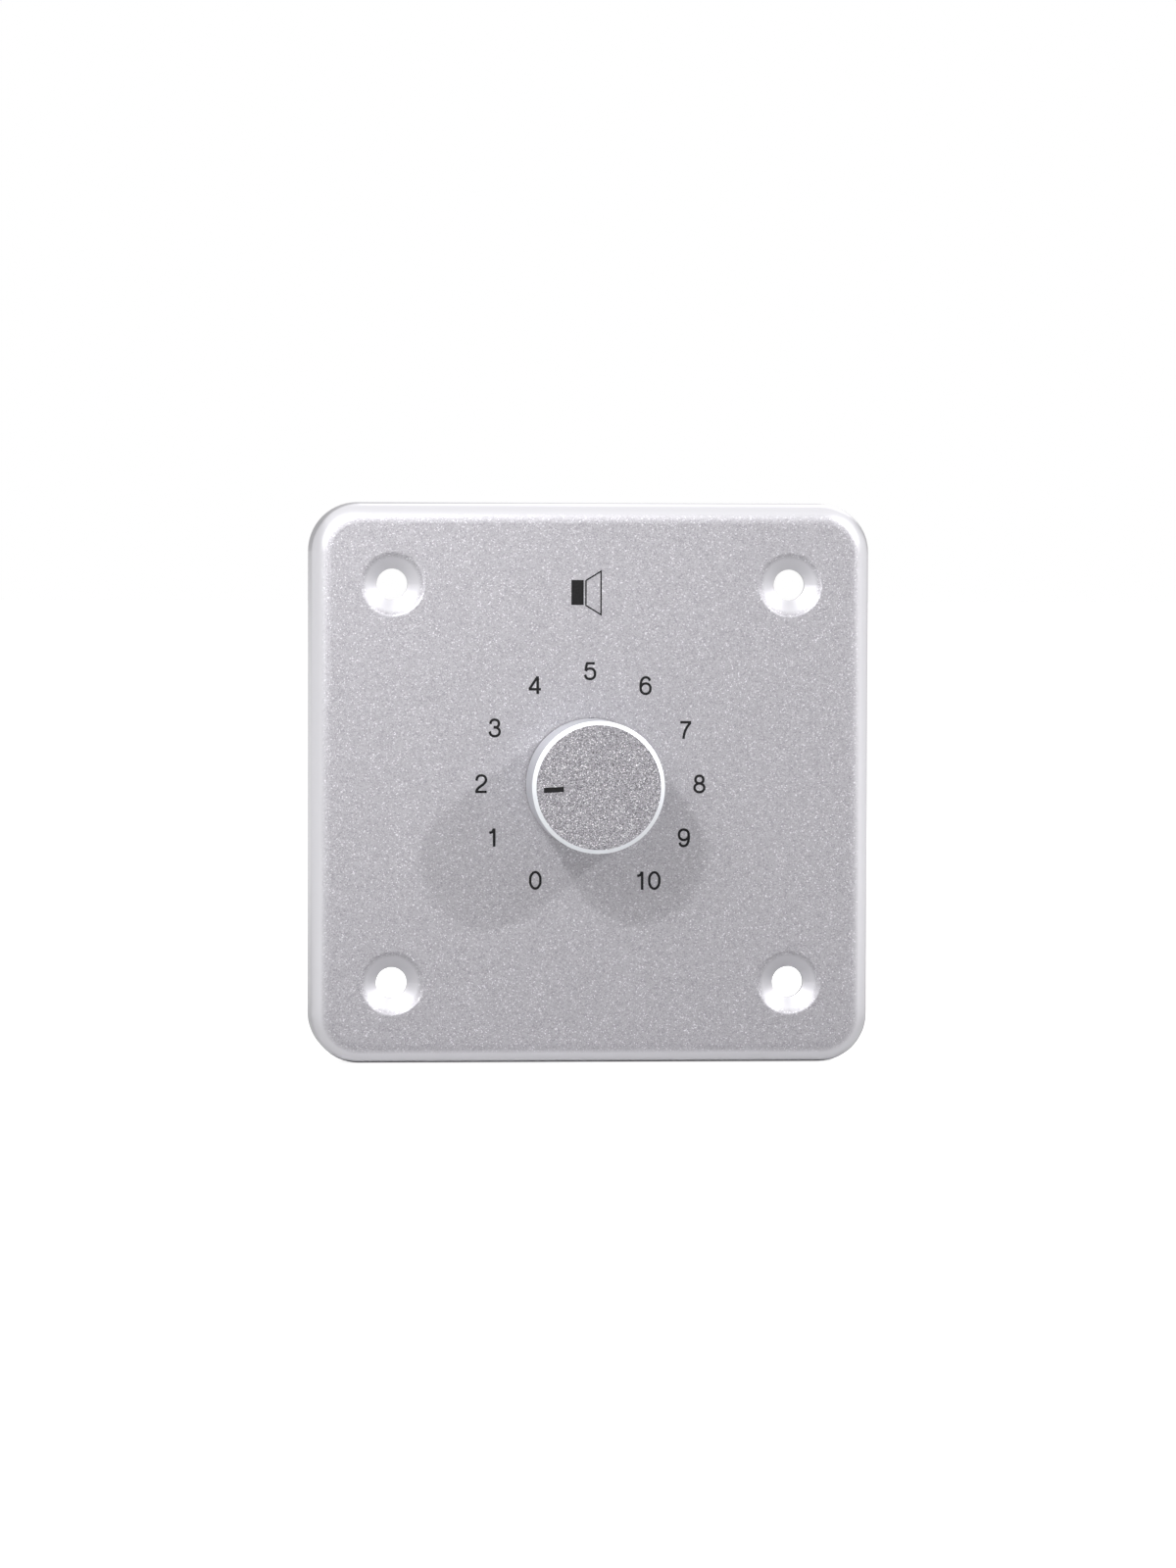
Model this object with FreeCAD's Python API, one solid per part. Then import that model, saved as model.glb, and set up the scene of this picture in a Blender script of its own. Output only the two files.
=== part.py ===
"""Flush-mounted speaker volume control.

A square pressed-metal face plate carries an eleven-position rotary switch with a knob.
Behind it, on short studs, sits a round circuit board with a small line transformer
and a four-way screw terminal.

Millimetres, +Z up. The front faces -Y. The origin is the centre of the plane
in which the rim of the plate meets the wall.
"""
import FreeCAD
import Part
import math
import os

Vector = FreeCAD.Vector

# Face plate: a square pan pressed from sheet, open towards the wall
PLATE_SIZE = 80.0
PLATE_DEPTH = 9.0
PLATE_SHEET = 1.2
PLATE_CORNER_R = 7.0
PLATE_EDGE_R = 2.8
PLATE_DRAFT_DEG = 1.5
PLATE_BORE_CLEARANCE = 0.2

# Countersunk dimples for the four wall screws
SCREW_SPACING = 56.7
SCREW_HOLE_R = 2.2
DIMPLE_R = 4.5
DIMPLE_SLOPE_DEG = 33.0
DIMPLE_LIP_R = 0.6
DIMPLE_LAND = 0.9
DIMPLE_SHEET = 1.1

# Knob: an aluminium cup over a ribbed plastic core
KNOB_R = 9.35
KNOB_HEIGHT = 12.7
KNOB_GAP = 0.5
SHELL_WALL = 0.7
SHELL_TOP = 0.8
SHELL_BEVEL_WIDTH = 0.6
SHELL_BEVEL_DEPTH = 0.4
POINTER_INNER_R = 4.9
POINTER_LENGTH = 2.85
POINTER_WIDTH = 0.75
POINTER_DEPTH = 0.2
POINTER_LAG_DEG = 3.0
CORE_INSET = 0.3
CORE_WALL = 1.2
CORE_TOP = 0.8
CORE_HUB_R = 5.0
CORE_RIBS = 6
CORE_RIB_THICKNESS = 1.0
CORE_HUB_SETBACK = 0.6
CLIP_THICKNESS = 0.3
CLIP_WIDTH = 4.0
CLIP_LENGTH = 4.0

# Switch shaft
SHAFT_R = 3.0
SHAFT_FLAT = 1.5
SHAFT_TIP_GAP = 2.0
SHAFT_FLAT_SETBACK = 0.5
SHAFT_CHAMFER = 0.5
SHAFT_COLLAR_R = 3.9
SHAFT_DRIVE_FLAT = 2.3
SHAFT_TAIL_R = 1.25
SHAFT_TAIL_DEPTH = 1.2

# Switch housing and its threaded bushing
HOUSING_R = 13.25
HOUSING_LENGTH = 12.5
HOUSING_WALL = 1.8
HOUSING_SKIRT = 1.3
HOUSING_EDGE = 0.4
BUSHING_LENGTH = 5.0
BUSHING_CHAMFER = 0.5
PIP_R = 1.0
PIP_GAP = 0.4
PIP_HEIGHT = 0.9

# Hardware on the bushing
NUT_TO_CORE_GAP = 0.5
NUT_CORNER_WALL = 2.43
NUT_HEIGHT = 2.2
NUT_BEVEL_DEG = 30.0
LOCK_WASHER_WIDTH = 1.7
LOCK_WASHER_THICKNESS = 0.6
LOCK_WASHER_TEETH = 12
LOCK_WASHER_TOOTH = 0.9
STOP_WASHER_WIDTH = 2.4
STOP_WASHER_THICKNESS = 0.8
STOP_SLOT_INSET = 0.8
STOP_SLOT_WIDTH = 1.2
STOP_SLOT_DEG = 16.0
STOP_TAB_DEG = 14.0
STOP_FIXED_DEG = 20.0

# Detent: a star of round valleys in the housing, two sprung balls in the rotor
POSITIONS = 12
STEP_DEG = 30.0
FIRST_POSITION_DEG = -150.0
LAST_POSITION_DEG = 150.0
STORED_POSITION_DEG = -90.0
STAR_RISE = 0.35
STAR_RELIEF = 0.15
STAR_LOBE_R = 4.0
BALL_R = 1.25
BALL_CLEARANCE = 0.05
SPRING_MEAN_R = 0.8
SPRING_WIRE_R = 0.18
SPRING_TURNS = 4

# Rotor, a disc with a radial bore for each ball
ROTOR_WALL = 0.6
ROTOR_RIM_GAP = 0.65
ROTOR_BORE_FLOOR = 1.2
ROTOR_BOSS_R = 4.6
LUG_DEG = 12.0
LUG_CLEARANCE_DEG = 1.0
LUG_HEIGHT = 1.2
CARRIER_WIDTH = 4.4
CARRIER_HEIGHT = 1.6
WIPER_PEG_R = 0.5

# Switch contacts
BASE_THICKNESS = 1.9
BASE_SEAT = 0.4
BASE_FEET = 3
BASE_FOOT_R = 0.9
BASE_FOOT_HEIGHT = 0.8
BASE_FOOT_INSET = 0.3
CONTACT_CIRCLE_R = 8.7
CONTACT_HEAD_R = 1.1
CONTACT_HEIGHT = 0.5
CONTACT_PIN_R = 0.45
COMMON_RING_R = 4.5
COMMON_RING_WIDTH = 1.6
WIPER_THICKNESS = 0.25
WIPER_WIDTH = 2.2
WIPER_FOOT = 0.7
WIPER_CLEARANCE = 0.05

# Circuit board and how it is carried
BOARD_R = 29.0
BOARD_THICKNESS = 1.6
PIN_TAIL = 1.2
STUD_X = 19.5
STUD_Z = 14.5
STUD_R = 1.5
STUD_LENGTH = 6.5
STUD_FLANGE_R = 2.2
STUD_FLANGE_HEIGHT = 0.8
SPACER_ACROSS_FLATS = 5.5
BOARD_HOLE_CLEARANCE = 0.15
WASHER_R = 3.2
WASHER_THICKNESS = 0.5
SCREW_HEAD_R = 2.8
SCREW_HEAD_HEIGHT = 2.0
SCREW_CROWN_R = 0.8
SCREW_LENGTH = 8.0
RECESS_WIDTH = 0.7
RECESS_LENGTH = 3.2
RECESS_DEPTH = 1.2

# Line transformer: stacked E and I sheets round a bobbin
CORE_LEG = 7.0
CORE_STACK = 15.0
CORE_WINDOW_HEIGHT = 21.0
CORE_STANDOFF = 2.0
CORE_HOLE_R = 1.75
BOBBIN_WALL = 1.0
BOBBIN_CLEARANCE = 0.1
BOBBIN_END_GAP = 0.2
BOBBIN_FLANGE_DEPTH = 29.4
BOBBIN_SIDE_GAP = 0.3
BOBBIN_CORNER_R = 1.0
RAIL_INNER_Z = 11.5
RAIL_OUTER_Z = 16.0
RAIL_FOOT_HEIGHT = 1.0
RAIL_FOOT_WIDTH = 2.0
RAIL_PINS = 6
RAIL_PIN_PITCH = 5.0
RAIL_PIN_R = 0.4
RAIL_PIN_SEAT = 3.0
RAIL_SLOT_WIDTH = 0.9
RAIL_SLOT_DEPTH = 1.1
WINDING_INSET = 0.7
WINDING_CORNER_R = 3.0
STRAP_SHEET = 0.8
STRAP_BEND_R = 0.7
STRAP_WIDTH = 12.0
STRAP_TAB_WIDTH = 2.0
STRAP_TAB_Z = 4.0
STRAP_TAB_FOLD = 2.0

# Screw terminal block for the line wires
TERMINAL_PITCH = 5.08
TERMINAL_POLES = 4
TERMINAL_END_WALL = 0.25
TERMINAL_BOTTOM_Z = -26.3
TERMINAL_DEPTH = 9.0
TERMINAL_HEIGHT = 10.0
TERMINAL_SHOULDER = 2.4
TERMINAL_FLOOR = 1.5
POLE_GROOVE = 0.5
ENTRY_WIDTH = 3.8
ENTRY_HEIGHT = 6.2
ENTRY_REACH = 6.2
WELL_R = 1.95
CAGE_CLEARANCE = 0.1
CAGE_DEPTH = 3.6
CAGE_WALL = 0.7
CAGE_WIRE_HEIGHT = 2.8
CLAMP_SCREW_HEAD_R = 1.75
CLAMP_SCREW_HEAD = 1.4
CLAMP_SCREW_R = 1.2
CLAMP_SLOT_WIDTH = 0.6
CLAMP_SLOT_DEPTH = 0.7
TERMINAL_PIN_R = 0.5

# Angles, and how closely an edge has to match a plane or a direction
FULL_TURN_DEG = 360.0
HALF_TURN_DEG = 180.0
HEX_SIDES = 6
ON_PLANE = 1e-5
PARALLEL_DEG = 2.5

# Clearances between pieces
RUNNING_CLEARANCE = 0.04
THREAD_CLEARANCE = 0.03
PRESS_CLEARANCE = 0.02
PIN_HOLE_CLEARANCE = 0.12
END_CLEARANCE = 0.1

# Planes along the depth, from the front to the rear
FRONT_Y = -PLATE_DEPTH
INNER_Y = FRONT_Y + PLATE_SHEET
KNOB_TOP_Y = FRONT_Y - KNOB_HEIGHT
KNOB_FOOT_Y = FRONT_Y - KNOB_GAP
BUSHING_END_Y = INNER_Y - BUSHING_LENGTH
CHAMBER_Y = INNER_Y + HOUSING_WALL
ROTOR_FRONT_Y = CHAMBER_Y + LUG_HEIGHT + END_CLEARANCE
ROTOR_THICKNESS = 2 * (BALL_R + BALL_CLEARANCE + ROTOR_WALL)
ROTOR_REAR_Y = ROTOR_FRONT_Y + ROTOR_THICKNESS
BALL_Y = ROTOR_FRONT_Y + ROTOR_THICKNESS / 2
HOUSING_REAR_Y = INNER_Y + HOUSING_LENGTH
BASE_FRONT_Y = HOUSING_REAR_Y - BASE_THICKNESS
CONTACT_FACE_Y = BASE_FRONT_Y - CONTACT_HEIGHT
BOARD_FRONT_Y = HOUSING_REAR_Y + BASE_FOOT_HEIGHT
BOARD_REAR_Y = BOARD_FRONT_Y + BOARD_THICKNESS
CARRIER_REAR_Y = ROTOR_REAR_Y + CARRIER_HEIGHT
SHAFT_TIP_Y = KNOB_TOP_Y + SHAFT_TIP_GAP
CORE_FRONT_Y = KNOB_TOP_Y + SHELL_TOP
HUB_FOOT_Y = BUSHING_END_Y - CORE_HUB_SETBACK

# Sizes that follow from the ones above
BUSHING_BORE_R = SHAFT_R + RUNNING_CLEARANCE
BASE_RECESS_R = HOUSING_R - HOUSING_SKIRT
CHAMBER_R = BASE_RECESS_R - BASE_SEAT
STAR_VALLEY_R = CHAMBER_R - STAR_RELIEF
STAR_CREST_R = STAR_VALLEY_R - STAR_RISE
ROTOR_R = STAR_CREST_R - ROTOR_RIM_GAP
BALL_STORED_R = STAR_CREST_R - BALL_R - BALL_CLEARANCE
ROTOR_BORE_R = BALL_R + BALL_CLEARANCE
SPRING_SEAT_R = SHAFT_R + ROTOR_BORE_FLOOR
CORE_R = KNOB_R - SHELL_WALL - PRESS_CLEARANCE
CORE_RING_R = CORE_R - CORE_WALL
NUT_CORNER_R = CORE_RING_R - NUT_TO_CORE_GAP
NUT_ACROSS_FLATS = 2 * NUT_CORNER_R * math.cos(math.pi / HEX_SIDES)
BUSHING_R = NUT_CORNER_R - NUT_CORNER_WALL
LOCK_WASHER_R = BUSHING_R + LOCK_WASHER_WIDTH
STOP_WASHER_R = BUSHING_R + STOP_WASHER_WIDTH
STOP_SLOT_INNER_R = BUSHING_R + STOP_SLOT_INSET
STOP_SLOT_OUTER_R = STOP_SLOT_INNER_R + STOP_SLOT_WIDTH
PIP_OFFSET = STOP_WASHER_R + PIP_GAP + PIP_R
CORE_HALF_WIDTH = 3 * CORE_LEG
CORE_LAMINATION_Y = BOARD_REAR_Y + CORE_STANDOFF
WINDOW_FRONT_Y = CORE_LAMINATION_Y + CORE_LEG
WINDOW_REAR_Y = WINDOW_FRONT_Y + CORE_WINDOW_HEIGHT
CORE_REAR_Y = WINDOW_REAR_Y + CORE_LEG
RAIL_PIN_Z = (RAIL_INNER_Z + RAIL_OUTER_Z) / 2
TERMINAL_TOP_Z = TERMINAL_BOTTOM_Z + TERMINAL_DEPTH
TERMINAL_REAR_Y = BOARD_REAR_Y + TERMINAL_HEIGHT
ENTRY_FRONT_Y = BOARD_REAR_Y + TERMINAL_FLOOR
ENTRY_REAR_Y = ENTRY_FRONT_Y + ENTRY_HEIGHT
CAGE_Z = TERMINAL_BOTTOM_Z + ENTRY_REACH - CAGE_CLEARANCE - CAGE_DEPTH / 2


def rod(radius, y0, y1, x=0.0, z=0.0):
    """Round bar along Y between two planes."""
    return Part.makeCylinder(radius, y1 - y0, Vector(x, y0, z), Vector(0, 1, 0))


def block(x0, x1, y0, y1, z0, z1):
    """Rectangular block between three pairs of planes."""
    return Part.makeBox(x1 - x0, y1 - y0, z1 - z0, Vector(x0, y0, z0))


def turned(profile, x=0.0, z=0.0):
    """Body of revolution about the line along Y through (x, z), from (radius, y) corners."""
    corners = [Vector(x + radius, y, z) for radius, y in profile]
    face = Part.Face(Part.makePolygon(corners + corners[:1]))
    return face.revolve(Vector(x, 0, z), Vector(0, 1, 0), FULL_TURN_DEG)


def at_angle(shape, degrees):
    """Copy of a shape built at twelve o'clock, turned clockwise as seen from the front."""
    copy = shape.copy()
    copy.rotate(Vector(0, 0, 0), Vector(0, 1, 0), degrees)
    return copy


def on_circle(radius, degrees):
    """The x and z of a point on a circle, by its clockwise angle from twelve o'clock."""
    angle = math.radians(degrees)
    return radius * math.sin(angle), radius * math.cos(angle)


def sector(inner_r, outer_r, width_deg, y0, y1, middle_deg=0.0):
    """Piece of a ring, extruded along Y, centred on a clockwise angle."""
    first, last = middle_deg - width_deg / 2, middle_deg + width_deg / 2

    def point(radius, degrees):
        x, z = on_circle(radius, degrees)
        return Vector(x, y0, z)

    edges = [
        Part.Arc(point(outer_r, first), point(outer_r, middle_deg), point(outer_r, last)).toShape(),
        Part.makeLine(point(outer_r, last), point(inner_r, last)),
        Part.Arc(point(inner_r, last), point(inner_r, middle_deg), point(inner_r, first)).toShape(),
        Part.makeLine(point(inner_r, first), point(outer_r, first)),
    ]
    return Part.Face(Part.Wire(edges)).extrude(Vector(0, y1 - y0, 0))


def hexagon(across_flats, y0, y1, x=0.0, z=0.0):
    """Hexagonal prism along Y with both ends bevelled back to the flats."""
    flat_r = across_flats / 2
    corner_r = flat_r / math.cos(math.pi / HEX_SIDES)
    corners = []
    for k in range(HEX_SIDES + 1):
        dx, dz = on_circle(corner_r, FULL_TURN_DEG / HEX_SIDES * k)
        corners.append(Vector(x + dx, y0, z + dz))
    prism = Part.Face(Part.makePolygon(corners)).extrude(Vector(0, y1 - y0, 0))
    bevel = (corner_r - flat_r) * math.tan(math.radians(NUT_BEVEL_DEG))
    envelope = [(0, y0), (flat_r, y0), (corner_r, y0 + bevel)]
    envelope += [(corner_r, y1 - bevel), (flat_r, y1), (0, y1)]
    return prism.common(turned(envelope, x, z))


def rounded_square(size, radius, y):
    """Closed wire of a square with round corners, in the plane at y."""
    half = size / 2
    core = half - radius
    corners = [(core, core), (core, -core), (-core, -core), (-core, core)]
    quarter = FULL_TURN_DEG / len(corners)
    edges = []
    for k, (cx, cz) in enumerate(corners):
        arc_ends = [on_circle(radius, quarter * (k + share)) for share in (0, 1 / 2, 1)]
        start, middle, end = [Vector(cx + dx, y, cz + dz) for dx, dz in arc_ends]
        next_x, next_z = corners[(k + 1) % len(corners)]
        dx, dz = arc_ends[-1]
        edges.append(Part.Arc(start, middle, end).toShape())
        edges.append(Part.makeLine(end, Vector(next_x + dx, y, next_z + dz)))
    return Part.Wire(edges)


def edges_at(shape, y):
    """Edges of a shape that lie in the plane at y."""
    return [e for e in shape.Edges
            if abs(e.BoundBox.YMin - y) < ON_PLANE and abs(e.BoundBox.YMax - y) < ON_PLANE]


def edges_along(shape, direction, near=None):
    """Straight edges parallel to a direction, all of them or those that a test accepts."""
    found = []
    for edge in shape.Edges:
        if not isinstance(edge.Curve, Part.Line):
            continue
        if abs(edge.tangentAt(edge.FirstParameter).dot(direction)) < math.cos(math.radians(PARALLEL_DEG)):
            continue
        if near is None or near(edge.CenterOfMass):
            found.append(edge)
    return found


def pan(size, corner_r, edge_r, y0, y1):
    """Drafted block with round corners whose front edge is rounded."""
    shrink = 2 * (y0 - y1) * math.tan(math.radians(PLATE_DRAFT_DEG))
    rim = rounded_square(size, corner_r, y0)
    front = rounded_square(size - shrink, corner_r - shrink / 2, y1)
    solid = Part.makeLoft([rim, front], True, True)
    return solid.makeFillet(edge_r, edges_at(solid, y1))


def square_pattern(half_x, half_z):
    """The four (x, z) corners of a rectangle about the axis."""
    return [(sx * half_x, sz * half_z) for sx in (-1, 1) for sz in (-1, 1)]


def contact_angles():
    """Clockwise angles of the switch contacts."""
    return [FIRST_POSITION_DEG + STEP_DEG * k for k in range(POSITIONS)]


def rail_pin_places():
    """The (x, z) of each bobbin pin, in two rows."""
    first = -RAIL_PIN_PITCH * (RAIL_PINS - 1) / 2
    return [(first + RAIL_PIN_PITCH * k, side * RAIL_PIN_Z) for side in (-1, 1) for k in range(RAIL_PINS)]


def terminal_xs():
    """The x of each pole of the terminal block."""
    first = -TERMINAL_PITCH * (TERMINAL_POLES - 1) / 2
    return [first + TERMINAL_PITCH * k for k in range(TERMINAL_POLES)]


def dimple(x, z):
    """Pressed countersink: a cone with a soft lip that runs into a straight land."""
    slope = math.radians(DIMPLE_SLOPE_DEG)
    depth = (DIMPLE_R - SCREW_HOLE_R) * math.tan(slope)
    tangent = DIMPLE_LIP_R * math.tan(slope / 2)
    lip_start = DIMPLE_R + tangent
    land_y = FRONT_Y + depth + DIMPLE_LAND
    rear_r = DIMPLE_R + DIMPLE_SHEET / math.sin(slope)

    def at(radius, y):
        return Vector(x + radius, y, z)

    corners = [
        at(DIMPLE_R - tangent * math.cos(slope), FRONT_Y + tangent * math.sin(slope)),
        at(SCREW_HOLE_R, FRONT_Y + depth),
        at(SCREW_HOLE_R, land_y),
        at(rear_r - (depth + DIMPLE_LAND) / math.tan(slope), land_y),
        at(rear_r - PLATE_SHEET / math.tan(slope), INNER_Y),
        at(rear_r, INNER_Y),
        at(rear_r, FRONT_Y),
        at(lip_start, FRONT_Y),
    ]
    edges = [Part.makeLine(a, b) for a, b in zip(corners, corners[1:])]
    middle = at(lip_start - DIMPLE_LIP_R * math.sin(slope / 2),
                FRONT_Y + DIMPLE_LIP_R * (1 - math.cos(slope / 2)))
    edges.append(Part.Arc(corners[-1], middle, corners[0]).toShape())
    ring = Part.Face(Part.Wire(edges)).revolve(Vector(x, 0, z), Vector(0, 1, 0), FULL_TURN_DEG)
    return ring, rod(rear_r, FRONT_Y, INNER_Y, x, z)


def face_plate():
    """Square pan with four dimples, the bushing hole and the hole for the locating pip."""
    outer = pan(PLATE_SIZE, PLATE_CORNER_R, PLATE_EDGE_R, 0, FRONT_Y)
    inner_edge_r = max(PLATE_EDGE_R - PLATE_SHEET, PLATE_SHEET / 4)
    hollow = pan(PLATE_SIZE - 2 * PLATE_SHEET, PLATE_CORNER_R - PLATE_SHEET, inner_edge_r, 0, INNER_Y)
    plate = outer.cut(hollow)
    for x, z in square_pattern(SCREW_SPACING / 2, SCREW_SPACING / 2):
        ring, opening = dimple(x, z)
        plate = plate.cut(opening).fuse(ring)
    plate = plate.cut(rod(BUSHING_R + PLATE_BORE_CLEARANCE, FRONT_Y, INNER_Y))
    plate = plate.cut(rod(PIP_R + PIN_HOLE_CLEARANCE, FRONT_Y, INNER_Y, 0, PIP_OFFSET))
    return plate.removeSplitter()


def knob_shell():
    """Aluminium cup with a cut bevel round its top and a milled pointer groove."""
    inner_r = KNOB_R - SHELL_WALL
    cup = turned([
        (0, KNOB_TOP_Y),
        (KNOB_R - SHELL_BEVEL_WIDTH, KNOB_TOP_Y),
        (KNOB_R, KNOB_TOP_Y + SHELL_BEVEL_DEPTH),
        (KNOB_R, KNOB_FOOT_Y),
        (inner_r, KNOB_FOOT_Y),
        (inner_r, CORE_FRONT_Y),
        (0, CORE_FRONT_Y),
    ])
    outer_r = POINTER_INNER_R + POINTER_LENGTH
    half = POINTER_WIDTH / 2
    groove = block(-half, half, KNOB_TOP_Y, KNOB_TOP_Y + POINTER_DEPTH, POINTER_INNER_R, outer_r)
    return cup.cut(at_angle(groove, STORED_POSITION_DEG - POINTER_LAG_DEG))


def knob_core():
    """Moulded core: a skirt that clears the nut, and a hub on ribs with a D-shaped bore."""
    web_y = CORE_FRONT_Y + CORE_TOP
    core = turned([
        (0, CORE_FRONT_Y),
        (CORE_R, CORE_FRONT_Y),
        (CORE_R, KNOB_FOOT_Y - CORE_INSET),
        (CORE_RING_R, KNOB_FOOT_Y - CORE_INSET),
        (CORE_RING_R, web_y),
        (CORE_HUB_R, web_y),
        (CORE_HUB_R, HUB_FOOT_Y),
        (0, HUB_FOOT_Y),
    ])
    half = CORE_RIB_THICKNESS / 2
    reach = (CORE_HUB_R + CORE_R) / 2
    rib = block(-half, half, web_y, HUB_FOOT_Y, CORE_HUB_R / 2, reach)
    rib = rib.fuse(block(-half, half, web_y, HUB_FOOT_Y, reach, CORE_RING_R + CORE_WALL / 2))
    for k in range(CORE_RIBS):
        core = core.fuse(at_angle(rib, FULL_TURN_DEG / CORE_RIBS * (k + 0.5)))
    bore_end_y = SHAFT_TIP_Y - END_CLEARANCE
    bore_r = SHAFT_R + RUNNING_CLEARANCE
    bore = rod(bore_r, bore_end_y, HUB_FOOT_Y)
    flat_z = SHAFT_FLAT + RUNNING_CLEARANCE
    bore = bore.cut(block(-bore_r, bore_r, bore_end_y, HUB_FOOT_Y, flat_z, bore_r))
    pocket_half = CLIP_WIDTH / 2 + END_CLEARANCE
    pocket_y = HUB_FOOT_Y - CLIP_LENGTH - 2 * END_CLEARANCE
    pocket_z = SHAFT_FLAT + CLIP_THICKNESS + 2 * END_CLEARANCE
    pocket = block(-pocket_half, pocket_half, pocket_y, HUB_FOOT_Y, 0, pocket_z)
    return core.cut(at_angle(bore.fuse(pocket), STORED_POSITION_DEG)).removeSplitter()


def knob_clip():
    """Bowed leaf spring that presses on the flat of the shaft."""
    rear_y = HUB_FOOT_Y - END_CLEARANCE
    front_y = rear_y - CLIP_LENGTH
    middle_y = (front_y + rear_y) / 2
    low_z = SHAFT_FLAT + PRESS_CLEARANCE
    end_z = low_z + END_CLEARANCE
    half = CLIP_WIDTH / 2

    def at(y, z):
        return Vector(-half, y, z)

    under = [at(front_y, end_z), at(middle_y, low_z), at(rear_y, end_z)]
    over = [point + Vector(0, 0, CLIP_THICKNESS) for point in reversed(under)]
    edges = [
        Part.Arc(*under).toShape(),
        Part.makeLine(under[-1], over[0]),
        Part.Arc(*over).toShape(),
        Part.makeLine(over[-1], under[0]),
    ]
    leaf = Part.Face(Part.Wire(edges)).extrude(Vector(CLIP_WIDTH, 0, 0))
    return at_angle(leaf, STORED_POSITION_DEG)


def switch_shaft():
    """Stepped shaft: D-shaped tip, bearing length, collar, two-flat drive and tail pivot."""
    collar_y = CHAMBER_Y + END_CLEARANCE
    tail_end_y = BASE_FRONT_Y + SHAFT_TAIL_DEPTH - END_CLEARANCE
    shaft = turned([
        (0, SHAFT_TIP_Y),
        (SHAFT_R - SHAFT_CHAMFER, SHAFT_TIP_Y),
        (SHAFT_R, SHAFT_TIP_Y + SHAFT_CHAMFER),
        (SHAFT_R, collar_y),
        (SHAFT_COLLAR_R, collar_y),
        (SHAFT_COLLAR_R, ROTOR_FRONT_Y),
        (SHAFT_R, ROTOR_FRONT_Y),
        (SHAFT_R, CARRIER_REAR_Y),
        (SHAFT_TAIL_R, CARRIER_REAR_Y),
        (SHAFT_TAIL_R, tail_end_y),
        (0, tail_end_y),
    ])
    flat_end_y = BUSHING_END_Y - SHAFT_FLAT_SETBACK
    flat = block(-SHAFT_R, SHAFT_R, SHAFT_TIP_Y, flat_end_y, SHAFT_FLAT, SHAFT_R)
    shaft = shaft.cut(at_angle(flat, STORED_POSITION_DEG))
    for side_deg in (0, HALF_TURN_DEG):
        drive = block(-SHAFT_R, SHAFT_R, ROTOR_FRONT_Y, CARRIER_REAR_Y, SHAFT_DRIVE_FLAT, SHAFT_R)
        shaft = shaft.cut(at_angle(drive, side_deg))
    return shaft


def detent_star(y0, y1):
    """Space of the detent ring: the crest circle and one round valley for each position."""
    star = rod(STAR_CREST_R, y0, y1)
    for degrees in contact_angles():
        x, z = on_circle(STAR_VALLEY_R - STAR_LOBE_R, degrees)
        star = star.fuse(rod(STAR_LOBE_R, y0, y1, x, z))
    return star


def switch_housing():
    """Moulded cup with its bushing, detent star, end stop and slots for the stop washer."""
    ring_rear_y = ROTOR_REAR_Y + END_CLEARANCE
    seat_y = INNER_Y + STOP_WASHER_THICKNESS
    housing = turned([
        (BUSHING_BORE_R, BUSHING_END_Y),
        (BUSHING_R - BUSHING_CHAMFER, BUSHING_END_Y),
        (BUSHING_R, BUSHING_END_Y + BUSHING_CHAMFER),
        (BUSHING_R, seat_y),
        (STOP_WASHER_R + END_CLEARANCE, seat_y),
        (STOP_WASHER_R + END_CLEARANCE, INNER_Y),
        (HOUSING_R - HOUSING_EDGE, INNER_Y),
        (HOUSING_R, INNER_Y + HOUSING_EDGE),
        (HOUSING_R, HOUSING_REAR_Y),
        (BASE_RECESS_R, HOUSING_REAR_Y),
        (BASE_RECESS_R, BASE_FRONT_Y),
        (CHAMBER_R, BASE_FRONT_Y),
        (CHAMBER_R, ring_rear_y),
        (BUSHING_BORE_R, ring_rear_y),
    ])
    housing = housing.cut(detent_star(CHAMBER_Y, ring_rear_y))
    for degrees in contact_angles()[1:-1]:
        slot_middle = degrees + LUG_DEG / 2 + LUG_CLEARANCE_DEG + STOP_TAB_DEG / 2
        slot = sector(STOP_SLOT_INNER_R, STOP_SLOT_OUTER_R, STOP_SLOT_DEG, seat_y, CHAMBER_Y, slot_middle)
        housing = housing.cut(slot)
    stop_middle = FIRST_POSITION_DEG - LUG_DEG / 2 - LUG_CLEARANCE_DEG - STOP_FIXED_DEG / 2
    stop_end_y = CHAMBER_Y + LUG_HEIGHT - END_CLEARANCE
    stop = sector(STOP_SLOT_INNER_R, STOP_SLOT_OUTER_R, STOP_FIXED_DEG, CHAMBER_Y - HOUSING_EDGE,
                  stop_end_y, stop_middle)
    pip = rod(PIP_R, INNER_Y - PIP_HEIGHT, INNER_Y + HOUSING_EDGE, 0, PIP_OFFSET)
    return housing.fuse(stop).fuse(pip).removeSplitter()


def stop_washer():
    """Washer under the panel whose tab passes through the housing and limits the travel."""
    rear_y = INNER_Y + STOP_WASHER_THICKNESS
    ring = rod(STOP_WASHER_R, INNER_Y, rear_y).cut(rod(BUSHING_R + END_CLEARANCE, INNER_Y, rear_y))
    tab_middle = LAST_POSITION_DEG + LUG_DEG / 2 + LUG_CLEARANCE_DEG + STOP_TAB_DEG / 2
    tab_end_y = CHAMBER_Y + LUG_HEIGHT - END_CLEARANCE
    tab = sector(STOP_SLOT_INNER_R + END_CLEARANCE, STOP_SLOT_OUTER_R - END_CLEARANCE, STOP_TAB_DEG,
                 INNER_Y, tab_end_y, tab_middle)
    return ring.fuse(tab).removeSplitter()


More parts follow.
